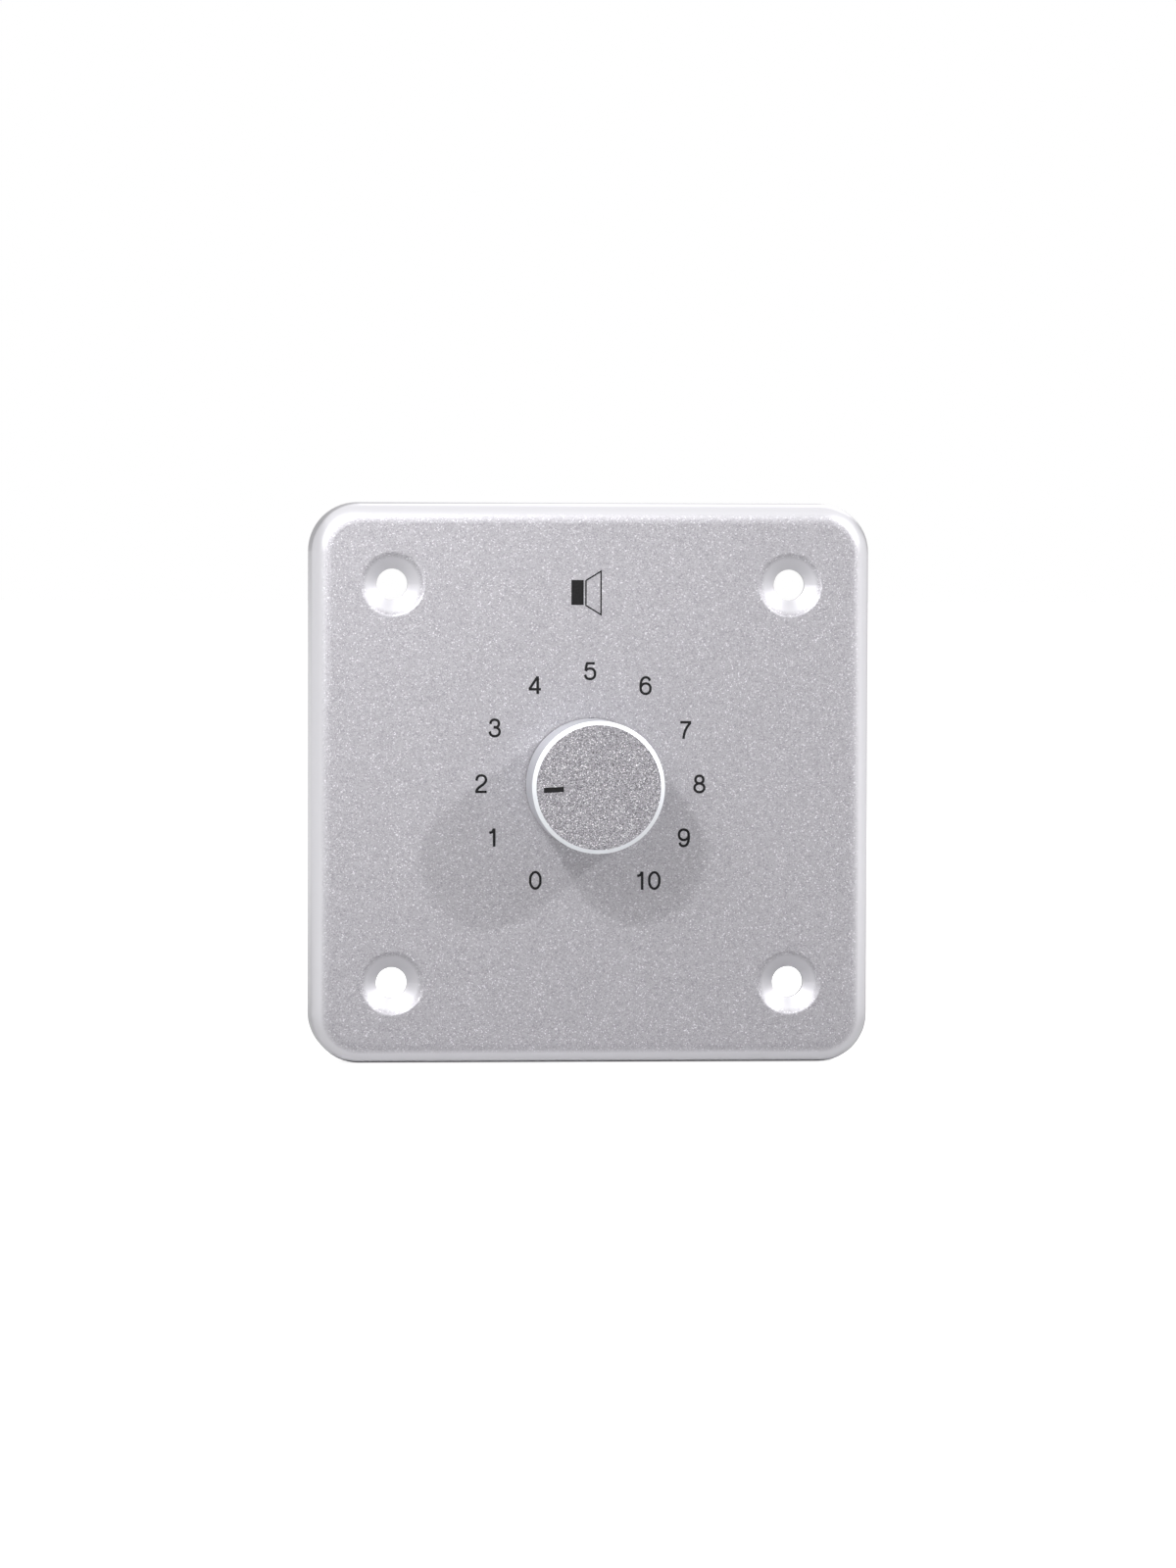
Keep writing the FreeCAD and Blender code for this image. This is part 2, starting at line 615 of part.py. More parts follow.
def lock_washer():
    """Flat washer with inner teeth between the plate and the nut."""
    front_y = FRONT_Y - LOCK_WASHER_THICKNESS
    tip_r = BUSHING_R + THREAD_CLEARANCE
    root_r = tip_r + LOCK_WASHER_TOOTH
    washer = rod(LOCK_WASHER_R, front_y, FRONT_Y).cut(rod(root_r, front_y, FRONT_Y))
    pitch = FULL_TURN_DEG / LOCK_WASHER_TEETH
    overlap_r = (root_r + LOCK_WASHER_R) / 2
    for k in range(LOCK_WASHER_TEETH):
        washer = washer.fuse(sector(tip_r, overlap_r, pitch / 2, front_y, FRONT_Y, pitch * k))
    return washer.removeSplitter()


def panel_nut():
    """Flat hexagon nut that holds the switch to the plate."""
    rear_y = FRONT_Y - LOCK_WASHER_THICKNESS
    nut = hexagon(NUT_ACROSS_FLATS, rear_y - NUT_HEIGHT, rear_y)
    return nut.cut(rod(BUSHING_R + THREAD_CLEARANCE, rear_y - NUT_HEIGHT, rear_y))


def switch_rotor():
    """Moulded disc: radial ball bores, stop lug in front and the wiper carrier behind."""
    rotor = rod(ROTOR_R, ROTOR_FRONT_Y, ROTOR_REAR_Y)
    rotor = rotor.fuse(rod(ROTOR_BOSS_R, ROTOR_REAR_Y, CARRIER_REAR_Y))
    half = CARRIER_WIDTH / 2
    bar_end = CONTACT_CIRCLE_R - WIPER_FOOT
    bar = block(-half, half, ROTOR_REAR_Y, CARRIER_REAR_Y, 0, bar_end)
    peg_x, peg_z = on_circle((COMMON_RING_R + CONTACT_CIRCLE_R) / 2, 0)
    peg = rod(WIPER_PEG_R, ROTOR_REAR_Y, CARRIER_REAR_Y + 2 * WIPER_THICKNESS, peg_x, peg_z)
    rotor = rotor.fuse(at_angle(bar.fuse(peg), STORED_POSITION_DEG))
    lug = sector(STOP_SLOT_INNER_R + END_CLEARANCE, STOP_SLOT_OUTER_R - END_CLEARANCE, LUG_DEG,
                 ROTOR_FRONT_Y - LUG_HEIGHT, ROTOR_FRONT_Y, STORED_POSITION_DEG)
    rotor = rotor.fuse(lug)
    drive_r = SHAFT_R + PRESS_CLEARANCE
    flat = SHAFT_DRIVE_FLAT + PRESS_CLEARANCE
    drive = rod(drive_r, ROTOR_FRONT_Y, CARRIER_REAR_Y)
    drive = drive.common(block(-drive_r, drive_r, ROTOR_FRONT_Y, CARRIER_REAR_Y, -flat, flat))
    rotor = rotor.cut(drive)
    for side in (-1, 1):
        start = Vector(side * SPRING_SEAT_R, BALL_Y, 0)
        bore = Part.makeCylinder(ROTOR_BORE_R, ROTOR_R - SPRING_SEAT_R + BALL_R, start, Vector(side, 0, 0))
        rotor = rotor.cut(bore)
    return rotor.removeSplitter()


def detent_ball(side):
    """Steel ball on one side of the rotor, stored pressed in to the crest circle."""
    return Part.makeSphere(BALL_R, Vector(side * BALL_STORED_R, BALL_Y, 0))


def biarc(start, start_dir, end, end_dir):
    """Two arcs, tangent to each other and to both directions, that join two points."""
    chord = end - start
    total = start_dir + end_dir
    a = 2 * (1 - start_dir.dot(end_dir))
    b = 2 * chord.dot(total)
    c = -chord.dot(chord)
    reach = (-b + math.sqrt(b * b - 4 * a * c)) / (2 * a)
    joint = (start + end + (start_dir - end_dir) * reach) * 0.5
    arcs = []
    for first, direction, last in ((start, start_dir, joint), (joint, None, end)):
        if direction is None:
            direction = (end - end_dir * reach - joint).normalize()
        span = last - first
        normal = (span - direction * span.dot(direction)).normalize()
        radius = span.dot(span) / (2 * span.dot(normal))
        centre = first + normal * radius
        outward = (first + span * 0.5 - centre).normalize()
        arcs.append(Part.Arc(first, centre + outward * radius, last).toShape())
    return arcs


def detent_spring(side):
    """Helical spring from the floor of a rotor bore to its ball."""
    first_x = SPRING_SEAT_R + SPRING_WIRE_R + PRESS_CLEARANCE
    last_x = BALL_STORED_R - math.sqrt(BALL_R ** 2 - SPRING_MEAN_R ** 2) - SPRING_WIRE_R - BALL_CLEARANCE
    rise = last_x - first_x
    full_angle = 2 * math.pi * SPRING_TURNS

    def place(angle):
        y = BALL_Y + SPRING_MEAN_R * math.cos(angle)
        return Vector(side * (first_x + rise * angle / full_angle), y, SPRING_MEAN_R * math.sin(angle))

    def heading(angle):
        dy = -SPRING_MEAN_R * math.sin(angle)
        dz = SPRING_MEAN_R * math.cos(angle)
        return Vector(side * rise / full_angle, dy, dz).normalize()

    edges = []
    quarters = 4 * SPRING_TURNS
    for k in range(quarters):
        a, b = full_angle * k / quarters, full_angle * (k + 1) / quarters
        edges += biarc(place(a), heading(a), place(b), heading(b))
    section = Part.Wire(Part.Circle(place(0), heading(0), SPRING_WIRE_R).toShape())
    return Part.Wire(edges).makePipeShell([section], True, False)


def wiper_contact():
    """Sprung leaf that bridges the common ring and the contact of the chosen position."""
    flat_y = CARRIER_REAR_Y
    touch_y = CONTACT_FACE_Y - WIPER_CLEARANCE - WIPER_THICKNESS
    half_foot = WIPER_FOOT / 2
    ramp = touch_y - flat_y
    path = [(COMMON_RING_R - half_foot - 2 * ramp, flat_y)]
    for foot_r in (COMMON_RING_R, CONTACT_CIRCLE_R):
        path.append((foot_r - half_foot - ramp / 2, flat_y))
        path.append((foot_r - half_foot, touch_y))
        path.append((foot_r + half_foot, touch_y))
        path.append((foot_r + half_foot + ramp / 2, flat_y))
    front = [Vector(0, y, radius) for radius, y in path]
    rear = [Vector(0, y + WIPER_THICKNESS, radius) for radius, y in reversed(path)]
    leaf = Part.Face(Part.makePolygon(front + rear + front[:1])).extrude(Vector(WIPER_WIDTH, 0, 0))
    leaf.translate(Vector(-WIPER_WIDTH / 2, 0, 0))
    peg_r = (COMMON_RING_R + CONTACT_CIRCLE_R) / 2
    hole = rod(WIPER_PEG_R + PRESS_CLEARANCE, flat_y, flat_y + WIPER_THICKNESS, 0, peg_r)
    return at_angle(leaf.cut(hole), STORED_POSITION_DEG)


def common_pin_place():
    """The x and z of the pin of the common ring."""
    return on_circle(COMMON_RING_R, FIRST_POSITION_DEG - STEP_DEG)


def contact_pin_places():
    """The x and z of each outer contact."""
    return [on_circle(CONTACT_CIRCLE_R, degrees) for degrees in contact_angles()]


def switch_base():
    """Rear cover with the contact holes, the tail pivot hole and three feet."""
    base_r = BASE_RECESS_R - PRESS_CLEARANCE
    base = rod(base_r, BASE_FRONT_Y, HOUSING_REAR_Y)
    for k in range(BASE_FEET):
        foot_deg = FULL_TURN_DEG / BASE_FEET * k + STEP_DEG / 2
        x, z = on_circle(base_r - BASE_FOOT_R - BASE_FOOT_INSET, foot_deg)
        base = base.fuse(rod(BASE_FOOT_R, HOUSING_REAR_Y - BASE_THICKNESS / 2, BOARD_FRONT_Y, x, z))
    for x, z in contact_pin_places() + [common_pin_place()]:
        base = base.cut(rod(CONTACT_PIN_R + PRESS_CLEARANCE, BASE_FRONT_Y, HOUSING_REAR_Y, x, z))
    tail_r = SHAFT_TAIL_R + RUNNING_CLEARANCE
    return base.cut(rod(tail_r, BASE_FRONT_Y, BASE_FRONT_Y + SHAFT_TAIL_DEPTH)).removeSplitter()


def switch_pins():
    """Turned outer contacts: a flat head inside, a tail through the circuit board."""
    tail_y = BOARD_REAR_Y + PIN_TAIL
    pins = []
    for x, z in contact_pin_places():
        pins.append(turned([
            (0, CONTACT_FACE_Y),
            (CONTACT_HEAD_R, CONTACT_FACE_Y),
            (CONTACT_HEAD_R, BASE_FRONT_Y),
            (CONTACT_PIN_R, BASE_FRONT_Y),
            (CONTACT_PIN_R, tail_y - CONTACT_PIN_R),
            (CONTACT_PIN_R / 2, tail_y),
            (0, tail_y),
        ], x, z))
    return Part.makeCompound(pins)


def common_contact():
    """Flat ring that the wiper always touches, with its own pin."""
    inner_r = COMMON_RING_R - COMMON_RING_WIDTH / 2
    ring = rod(inner_r + COMMON_RING_WIDTH, CONTACT_FACE_Y, BASE_FRONT_Y)
    ring = ring.cut(rod(inner_r, CONTACT_FACE_Y, BASE_FRONT_Y))
    x, z = common_pin_place()
    pin = rod(CONTACT_PIN_R, CONTACT_FACE_Y + CONTACT_HEIGHT / 2, BOARD_REAR_Y + PIN_TAIL, x, z)
    return ring.fuse(pin).removeSplitter()


def stud_places():
    """The x and z of each stud, spacer and board screw."""
    return square_pattern(STUD_X, STUD_Z)


def weld_studs():
    """Short threaded studs welded to the inner face of the plate."""
    flange_y = INNER_Y + STUD_FLANGE_HEIGHT
    studs = []
    for x, z in stud_places():
        stud = rod(STUD_FLANGE_R, INNER_Y, flange_y, x, z)
        studs.append(stud.fuse(rod(STUD_R, flange_y, INNER_Y + STUD_LENGTH, x, z)))
    return Part.makeCompound(studs)


def hex_spacers():
    """Hexagonal spacers from the plate to the board, counterbored for the weld flange."""
    spacers = []
    for x, z in stud_places():
        spacer = hexagon(SPACER_ACROSS_FLATS, INNER_Y, BOARD_FRONT_Y, x, z)
        spacer = spacer.cut(rod(STUD_R + THREAD_CLEARANCE, INNER_Y, BOARD_FRONT_Y, x, z))
        flange_y = INNER_Y + STUD_FLANGE_HEIGHT + END_CLEARANCE
        spacers.append(spacer.cut(rod(STUD_FLANGE_R + THREAD_CLEARANCE, INNER_Y, flange_y, x, z)))
    return Part.makeCompound(spacers)


def strap_tab_places():
    """The side and z of each of the four tabs of the transformer strap."""
    return [(side, z) for side in (-1, 1) for z in (-STRAP_TAB_Z, STRAP_TAB_Z)]


def strap_tab(side, z, y0, y1, grow=0.0):
    """Straight part of a strap tab, or the slot for it when it grows by a clearance."""
    near, far = CORE_HALF_WIDTH - grow, CORE_HALF_WIDTH + STRAP_SHEET + grow
    low, high = sorted((side * near, side * far))
    half = STRAP_TAB_WIDTH / 2 + grow
    return block(low, high, y0, y1, z - half, z + half)


def circuit_board():
    """Round board with holes for every pin, tab and screw that passes through it."""
    board = rod(BOARD_R, BOARD_FRONT_Y, BOARD_REAR_Y)
    holes = [(x, z, CONTACT_PIN_R) for x, z in contact_pin_places() + [common_pin_place()]]
    holes += [(x, z, RAIL_PIN_R) for x, z in rail_pin_places()]
    holes += [(x, CAGE_Z, TERMINAL_PIN_R) for x in terminal_xs()]
    cuts = [rod(r + PIN_HOLE_CLEARANCE, BOARD_FRONT_Y, BOARD_REAR_Y, x, z) for x, z, r in holes]
    screw_r = STUD_R + BOARD_HOLE_CLEARANCE
    cuts += [rod(screw_r, BOARD_FRONT_Y, BOARD_REAR_Y, x, z) for x, z in stud_places()]
    cuts += [strap_tab(side, z, BOARD_FRONT_Y, BOARD_REAR_Y, PIN_HOLE_CLEARANCE)
             for side, z in strap_tab_places()]
    return board.cut(Part.makeCompound(cuts))


def board_washers():
    """Plain washers under the board screws."""
    rear_y = BOARD_REAR_Y + WASHER_THICKNESS
    hole_r = STUD_R + BOARD_HOLE_CLEARANCE
    washers = []
    for x, z in stud_places():
        hole = rod(hole_r, BOARD_REAR_Y, rear_y, x, z)
        washers.append(rod(WASHER_R, BOARD_REAR_Y, rear_y, x, z).cut(hole))
    return Part.makeCompound(washers)


def board_screws():
    """Pan-head screws with a cross recess, driven from the rear into the spacers."""
    seat_y = BOARD_REAR_Y + WASHER_THICKNESS
    top_y = seat_y + SCREW_HEAD_HEIGHT
    screws = []
    for x, z in stud_places():
        head = rod(SCREW_HEAD_R, seat_y, top_y, x, z)
        head = head.makeFillet(SCREW_CROWN_R, edges_at(head, top_y))
        for reach_x, reach_z in ((RECESS_LENGTH, RECESS_WIDTH), (RECESS_WIDTH, RECESS_LENGTH)):
            head = head.cut(block(x - reach_x / 2, x + reach_x / 2, top_y - RECESS_DEPTH, top_y,
                                  z - reach_z / 2, z + reach_z / 2))
        screws.append(head.fuse(rod(STUD_R, seat_y - SCREW_LENGTH, seat_y, x, z)))
    return Part.makeCompound(screws)


def core_laminations():
    """Stack of E and I sheets: three legs, two windows and a hole near each corner."""
    half_stack = CORE_STACK / 2
    hole_x = CORE_HALF_WIDTH - CORE_LEG / 2
    core = block(-CORE_HALF_WIDTH, CORE_HALF_WIDTH, CORE_LAMINATION_Y, CORE_REAR_Y, -half_stack, half_stack)
    for side in (-1, 1):
        low, high = sorted((side * CORE_LEG, side * 2 * CORE_LEG))
        core = core.cut(block(low, high, WINDOW_FRONT_Y, WINDOW_REAR_Y, -half_stack, half_stack))
        for hole_y in (CORE_LAMINATION_Y + CORE_LEG / 2, CORE_REAR_Y - CORE_LEG / 2):
            start = Vector(side * hole_x, hole_y, -half_stack)
            core = core.cut(Part.makeCylinder(CORE_HOLE_R, CORE_STACK, start))
    return core


def coil_bobbin():
    """Moulded former: a square tube, two flanges and a pin rail on feet at each side.

    Each rail has a slot beside every pin for the wire that comes down to it."""
    half_leg = CORE_LEG + BOBBIN_CLEARANCE
    half_stack = CORE_STACK / 2 + BOBBIN_CLEARANCE
    half_width = 2 * CORE_LEG - BOBBIN_SIDE_GAP
    half_depth = BOBBIN_FLANGE_DEPTH / 2
    front_y = WINDOW_FRONT_Y + BOBBIN_END_GAP
    rear_y = WINDOW_REAR_Y - BOBBIN_END_GAP
    seat_y = BOARD_REAR_Y + RAIL_FOOT_HEIGHT
    foot_middle = RAIL_PIN_PITCH * (RAIL_PINS / 2 - 1)
    tube_x, tube_z = half_leg + BOBBIN_WALL, half_stack + BOBBIN_WALL
    bobbin = block(-tube_x, tube_x, front_y, rear_y, -tube_z, tube_z)
    for flange_y in (front_y, rear_y - BOBBIN_WALL):
        flange = block(-half_width, half_width, flange_y, flange_y + BOBBIN_WALL, -half_depth, half_depth)
        bobbin = bobbin.fuse(flange.makeFillet(BOBBIN_CORNER_R, edges_along(flange, Vector(0, 1, 0))))
    for side in (-1, 1):
        low, high = sorted((side * RAIL_INNER_Z, side * RAIL_OUTER_Z))
        bobbin = bobbin.fuse(block(-half_width, half_width, seat_y, front_y + BOBBIN_WALL, low, high))
        for foot_x in (-foot_middle, foot_middle):
            bobbin = bobbin.fuse(block(foot_x - RAIL_FOOT_WIDTH / 2, foot_x + RAIL_FOOT_WIDTH / 2,
                                       BOARD_REAR_Y, front_y, low, high))
    bobbin = bobbin.cut(block(-half_leg, half_leg, front_y, rear_y, -half_stack, half_stack))
    for x, z in rail_pin_places():
        seat_end_y = seat_y + RAIL_PIN_SEAT + END_CLEARANCE
        bobbin = bobbin.cut(rod(RAIL_PIN_R + PRESS_CLEARANCE, seat_y, seat_end_y, x, z))
        edge_z = math.copysign(RAIL_OUTER_Z, z)
        low, high = sorted((edge_z, edge_z - math.copysign(RAIL_SLOT_DEPTH, z)))
        bobbin = bobbin.cut(block(x - RAIL_SLOT_WIDTH / 2, x + RAIL_SLOT_WIDTH / 2, BOARD_REAR_Y,
                                  front_y + BOBBIN_WALL, low, high))
    return bobbin.removeSplitter()


def bobbin_pins():
    """Straight pins from the rails of the former through the circuit board."""
    tip_y = BOARD_FRONT_Y - PIN_TAIL
    root_y = BOARD_REAR_Y + RAIL_FOOT_HEIGHT + RAIL_PIN_SEAT
    return Part.makeCompound([rod(RAIL_PIN_R, tip_y, root_y, x, z) for x, z in rail_pin_places()])


def coil_winding():
    """Taped winding between the flanges of the former, with round corners."""
    front_y = WINDOW_FRONT_Y + BOBBIN_END_GAP + BOBBIN_WALL
    rear_y = WINDOW_REAR_Y - BOBBIN_END_GAP - BOBBIN_WALL
    half_width = 2 * CORE_LEG - BOBBIN_SIDE_GAP - WINDING_INSET
    half_depth = BOBBIN_FLANGE_DEPTH / 2 - WINDING_INSET
    winding = block(-half_width, half_width, front_y, rear_y, -half_depth, half_depth)
    winding = winding.makeFillet(WINDING_CORNER_R, edges_along(winding, Vector(0, 1, 0)))
    tube_x = CORE_LEG + BOBBIN_CLEARANCE + BOBBIN_WALL + PRESS_CLEARANCE
    tube_z = CORE_STACK / 2 + BOBBIN_CLEARANCE + BOBBIN_WALL + PRESS_CLEARANCE
    return winding.cut(block(-tube_x, tube_x, front_y, rear_y, -tube_z, tube_z))


def core_clamp():
    """Steel strap over the core whose tabs pass through the board and fold over."""
    inner, outer = CORE_HALF_WIDTH, CORE_HALF_WIDTH + STRAP_SHEET
    half = STRAP_WIDTH / 2
    rear_y = CORE_REAR_Y + STRAP_SHEET
    strap = block(-outer, outer, BOARD_REAR_Y, rear_y, -half, half)
    strap = strap.cut(block(-inner, inner, BOARD_REAR_Y, CORE_REAR_Y, -half, half))
    bends = edges_along(strap, Vector(0, 0, 1), lambda p: p.y > CORE_REAR_Y + STRAP_SHEET / 2)
    strap = strap.makeFillet(STRAP_BEND_R, bends)
    for side, z in strap_tab_places():
        fold_y = BOARD_FRONT_Y - STRAP_SHEET
        strap = strap.fuse(strap_tab(side, z, fold_y, BOARD_REAR_Y))
        low, high = sorted((side * inner, side * (outer + STRAP_TAB_FOLD)))
        tab_half = STRAP_TAB_WIDTH / 2
        strap = strap.fuse(block(low, high, fold_y, BOARD_FRONT_Y, z - tab_half, z + tab_half))
    return strap.removeSplitter()


def terminal_block():
    """Moulded block: a wire entry below and a screw well behind for each pole, grooves between."""
    half = TERMINAL_PITCH * TERMINAL_POLES / 2 + TERMINAL_END_WALL
    shoulder_y = TERMINAL_REAR_Y - 2 * TERMINAL_SHOULDER
    corners = [
        (BOARD_REAR_Y, TERMINAL_BOTTOM_Z),
        (shoulder_y, TERMINAL_BOTTOM_Z),
        (TERMINAL_REAR_Y, TERMINAL_BOTTOM_Z + TERMINAL_SHOULDER),
        (TERMINAL_REAR_Y, TERMINAL_TOP_Z - TERMINAL_SHOULDER / 2),
        (TERMINAL_REAR_Y - TERMINAL_SHOULDER, TERMINAL_TOP_Z),
        (BOARD_REAR_Y, TERMINAL_TOP_Z),
    ]
    outline = [Vector(-half, y, z) for y, z in corners]
    body = Part.Face(Part.makePolygon(outline + outline[:1])).extrude(Vector(2 * half, 0, 0))
    for x in terminal_xs():
        body = body.cut(block(x - ENTRY_WIDTH / 2, x + ENTRY_WIDTH / 2, ENTRY_FRONT_Y, ENTRY_REAR_Y,
                              TERMINAL_BOTTOM_Z, TERMINAL_BOTTOM_Z + ENTRY_REACH))
        body = body.cut(rod(WELL_R, ENTRY_REAR_Y, TERMINAL_REAR_Y, x, CAGE_Z))
        pin_hole_r = TERMINAL_PIN_R + PIN_HOLE_CLEARANCE
        body = body.cut(rod(pin_hole_r, BOARD_REAR_Y, ENTRY_FRONT_Y, x, CAGE_Z))
    for x in terminal_xs()[1:]:
        groove_x = x - TERMINAL_PITCH / 2
        low, high = groove_x - POLE_GROOVE / 2, groove_x + POLE_GROOVE / 2
        body = body.cut(block(low, high, TERMINAL_REAR_Y - POLE_GROOVE, TERMINAL_REAR_Y,
                              TERMINAL_BOTTOM_Z, TERMINAL_TOP_Z))
        body = body.cut(block(low, high, BOARD_REAR_Y, TERMINAL_REAR_Y,
                              TERMINAL_BOTTOM_Z, TERMINAL_BOTTOM_Z + POLE_GROOVE))
    return body


def terminal_cages():
    """Brass rising cages, each with a window for the wire and a hole for its screw."""
    half_x = ENTRY_WIDTH / 2 - CAGE_CLEARANCE
    front_y = ENTRY_FRONT_Y + CAGE_CLEARANCE
    rear_y = ENTRY_REAR_Y - CAGE_CLEARANCE
    z0, z1 = CAGE_Z - CAGE_DEPTH / 2, CAGE_Z + CAGE_DEPTH / 2
    cages = []
    for x in terminal_xs():
        cage = block(x - half_x, x + half_x, front_y, rear_y, z0, z1)
        window_half = half_x - CAGE_WALL
        cage = cage.cut(block(x - window_half, x + window_half, front_y + CAGE_WALL,
                              front_y + CAGE_WALL + CAGE_WIRE_HEIGHT, z0, z1))
        cage = cage.cut(rod(CLAMP_SCREW_R + THREAD_CLEARANCE, front_y + CAGE_WALL, rear_y, x, CAGE_Z))
        cages.append(cage)
    return Part.makeCompound(cages)


def terminal_screws():
    """Slotted clamp screws in the wells of the terminal block."""
    seat_y = ENTRY_REAR_Y
    head_y = seat_y + CLAMP_SCREW_HEAD
    tip_y = ENTRY_FRONT_Y + CAGE_CLEARANCE + CAGE_WALL + CAGE_WIRE_HEIGHT
    screws = []
    for x in terminal_xs():
        screw = rod(CLAMP_SCREW_HEAD_R, seat_y, head_y, x, CAGE_Z)
        screw = screw.cut(block(x - CLAMP_SLOT_WIDTH / 2, x + CLAMP_SLOT_WIDTH / 2,
                                head_y - CLAMP_SLOT_DEPTH, head_y,
                                CAGE_Z - CLAMP_SCREW_HEAD_R, CAGE_Z + CLAMP_SCREW_HEAD_R))
        screws.append(screw.fuse(rod(CLAMP_SCREW_R, tip_y, seat_y, x, CAGE_Z)))
    return Part.makeCompound(screws)


def terminal_pins():
    """Solder pins under the cages."""
    tip_y = BOARD_FRONT_Y - PIN_TAIL
    return Part.makeCompound([rod(TERMINAL_PIN_R, tip_y, ENTRY_FRONT_Y, x, CAGE_Z) for x in terminal_xs()])


PARTS = {
    "face_plate": face_plate,
    "weld_studs": weld_studs,
    "hex_spacers": hex_spacers,
    "circuit_board": circuit_board,
    "board_washers": board_washers,
    "board_screws": board_screws,
    "switch_housing": switch_housing,
    "switch_base": switch_base,
    "switch_pins": switch_pins,
    "common_contact": common_contact,
    "stop_washer": stop_washer,
    "lock_washer": lock_washer,
    "panel_nut": panel_nut,
    "switch_shaft": switch_shaft,
    "switch_rotor": switch_rotor,
    "wiper_contact": wiper_contact,
    "detent_ball_left": lambda: detent_ball(-1),
    "detent_ball_right": lambda: detent_ball(1),
    "detent_spring_left": lambda: detent_spring(-1),
    "detent_spring_right": lambda: detent_spring(1),
    "knob_shell": knob_shell,
    "knob_core": knob_core,
    "knob_clip": knob_clip,
    "core_laminations": core_laminations,
    "coil_bobbin": coil_bobbin,
    "coil_winding": coil_winding,
    "bobbin_pins": bobbin_pins,
    "core_clamp": core_clamp,
    "terminal_block": terminal_block,
    "terminal_cages": terminal_cages,
    "terminal_screws": terminal_screws,
    "terminal_pins": terminal_pins,
}

os.makedirs("parts", exist_ok=True)
for node, make in PARTS.items():
    shape = make()
    shape.exportStep(f"parts/{node}.step")
    volumes = " ".join(f"{solid.Volume:.1f}" for solid in shape.Solids[:2])
    print(f"{node}: {len(shape.Solids)} solids, valid {shape.isValid()}, mm3 {volumes}")
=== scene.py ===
"""Looks of the speaker volume control: finishes, printed scale, solder work, light and camera.

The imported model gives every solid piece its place. Lengths here are in millimetres and are
turned to metres where a mesh is made. The front faces -Y, +Z is up, and the dial turns about
the Y axis through the origin.
"""
import math
import random

import bmesh
import bpy
from mathutils import Matrix, Vector


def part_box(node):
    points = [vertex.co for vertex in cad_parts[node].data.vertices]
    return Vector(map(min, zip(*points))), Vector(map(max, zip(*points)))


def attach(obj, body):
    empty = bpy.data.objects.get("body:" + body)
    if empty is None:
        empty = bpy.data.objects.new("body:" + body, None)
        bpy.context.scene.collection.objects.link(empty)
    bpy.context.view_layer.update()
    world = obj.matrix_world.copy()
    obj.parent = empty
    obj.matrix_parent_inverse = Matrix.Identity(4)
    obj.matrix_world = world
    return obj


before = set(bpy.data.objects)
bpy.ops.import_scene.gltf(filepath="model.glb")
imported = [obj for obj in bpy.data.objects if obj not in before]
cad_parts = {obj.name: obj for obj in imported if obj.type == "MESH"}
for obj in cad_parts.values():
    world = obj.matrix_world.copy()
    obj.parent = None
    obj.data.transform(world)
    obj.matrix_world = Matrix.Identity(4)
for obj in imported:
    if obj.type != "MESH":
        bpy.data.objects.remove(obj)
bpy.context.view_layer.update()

MM = 0.001

# Points of a mesh that lie closer than this are one point
MERGE = 1e-5


def low_corner(name):
    """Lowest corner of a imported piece, in millimetres."""
    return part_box(name)[0] / MM


def high_corner(name):
    """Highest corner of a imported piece, in millimetres."""
    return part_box(name)[1] / MM


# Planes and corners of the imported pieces
FACE_Y = low_corner("face_plate").y
KNOB_TOP_Y = low_corner("knob_shell").y
FLOOR_Z = low_corner("face_plate").z
BOARD_FRONT_Y = low_corner("circuit_board").y
BOARD_REAR_Y = high_corner("circuit_board").y
CORE_LOW = low_corner("core_laminations")
CORE_HIGH = high_corner("core_laminations")
WINDING_LOW = low_corner("coil_winding")
WINDING_HIGH = high_corner("coil_winding")
RAIL_OUTER_Z = high_corner("coil_bobbin").z
TERMINAL_LOW = low_corner("terminal_block")
TERMINAL_HIGH = high_corner("terminal_block")

# Printed scale: eleven numerals on a ring, each a little off its place, as in the photograph
INK_THICKNESS = 0.03
NUMERAL_RING_X = 15.7
NUMERAL_RING_Z = 15.95
NUMERAL_STROKE = 0.38
STEP_DEG = 30.0
FIRST_STEP_DEG = -150.0
STEPS = 11
FIGURE_SPACING = 2.0
NUMERAL_NUDGES = [
    (-0.1, 0.1), (-0.5, 0.38), (0, 0.05), (-0.2, 0), (-0.25, 0.28), (-0.22, 0.16),
    (-0.15, 0.2), (-0.15, -0.26), (-0.25, 0), (-0.33, 0.3), (0.2, 0.05),
]

# Loudspeaker pictogram
PICTOGRAM_Z = 27.2
PICTOGRAM_LINE = 0.2
MAGNET_LEFT = -2.92
MAGNET_RIGHT = -1.17
MAGNET_LIFT = 0.03
MAGNET_HEIGHT = 3.54
CONE_LEFT = -0.95
CONE_RIGHT = 1.4
CONE_LIFT = -0.03
CONE_BACK_HEIGHT = 3.64
CONE_MOUTH_HEIGHT = 6.54

# Blasted face of the plate: depths under it at which the finish is still full and has ended
PLATE_GRIT = 0.14
PLATE_BLAST_FULL = 0.002
PLATE_BLAST_END = 0.45

# Dimples of the plate, which the blasting enters less deeply
DIMPLE_XZ = 28.35
DIMPLE_OUTER_R = 5.0
DIMPLE_EDGE = 0.2
DIMPLE_BLAST_LOSS = 0.15

# Blasted top of the knob, in the same terms, and the bevel round it, as deep as in the CAD
KNOB_GRIT = 0.11
KNOB_BLAST_FULL = 0.005
KNOB_BLAST_END = 0.03
KNOB_BEVEL = 0.4
KNOB_BEVEL_EDGE = 0.05

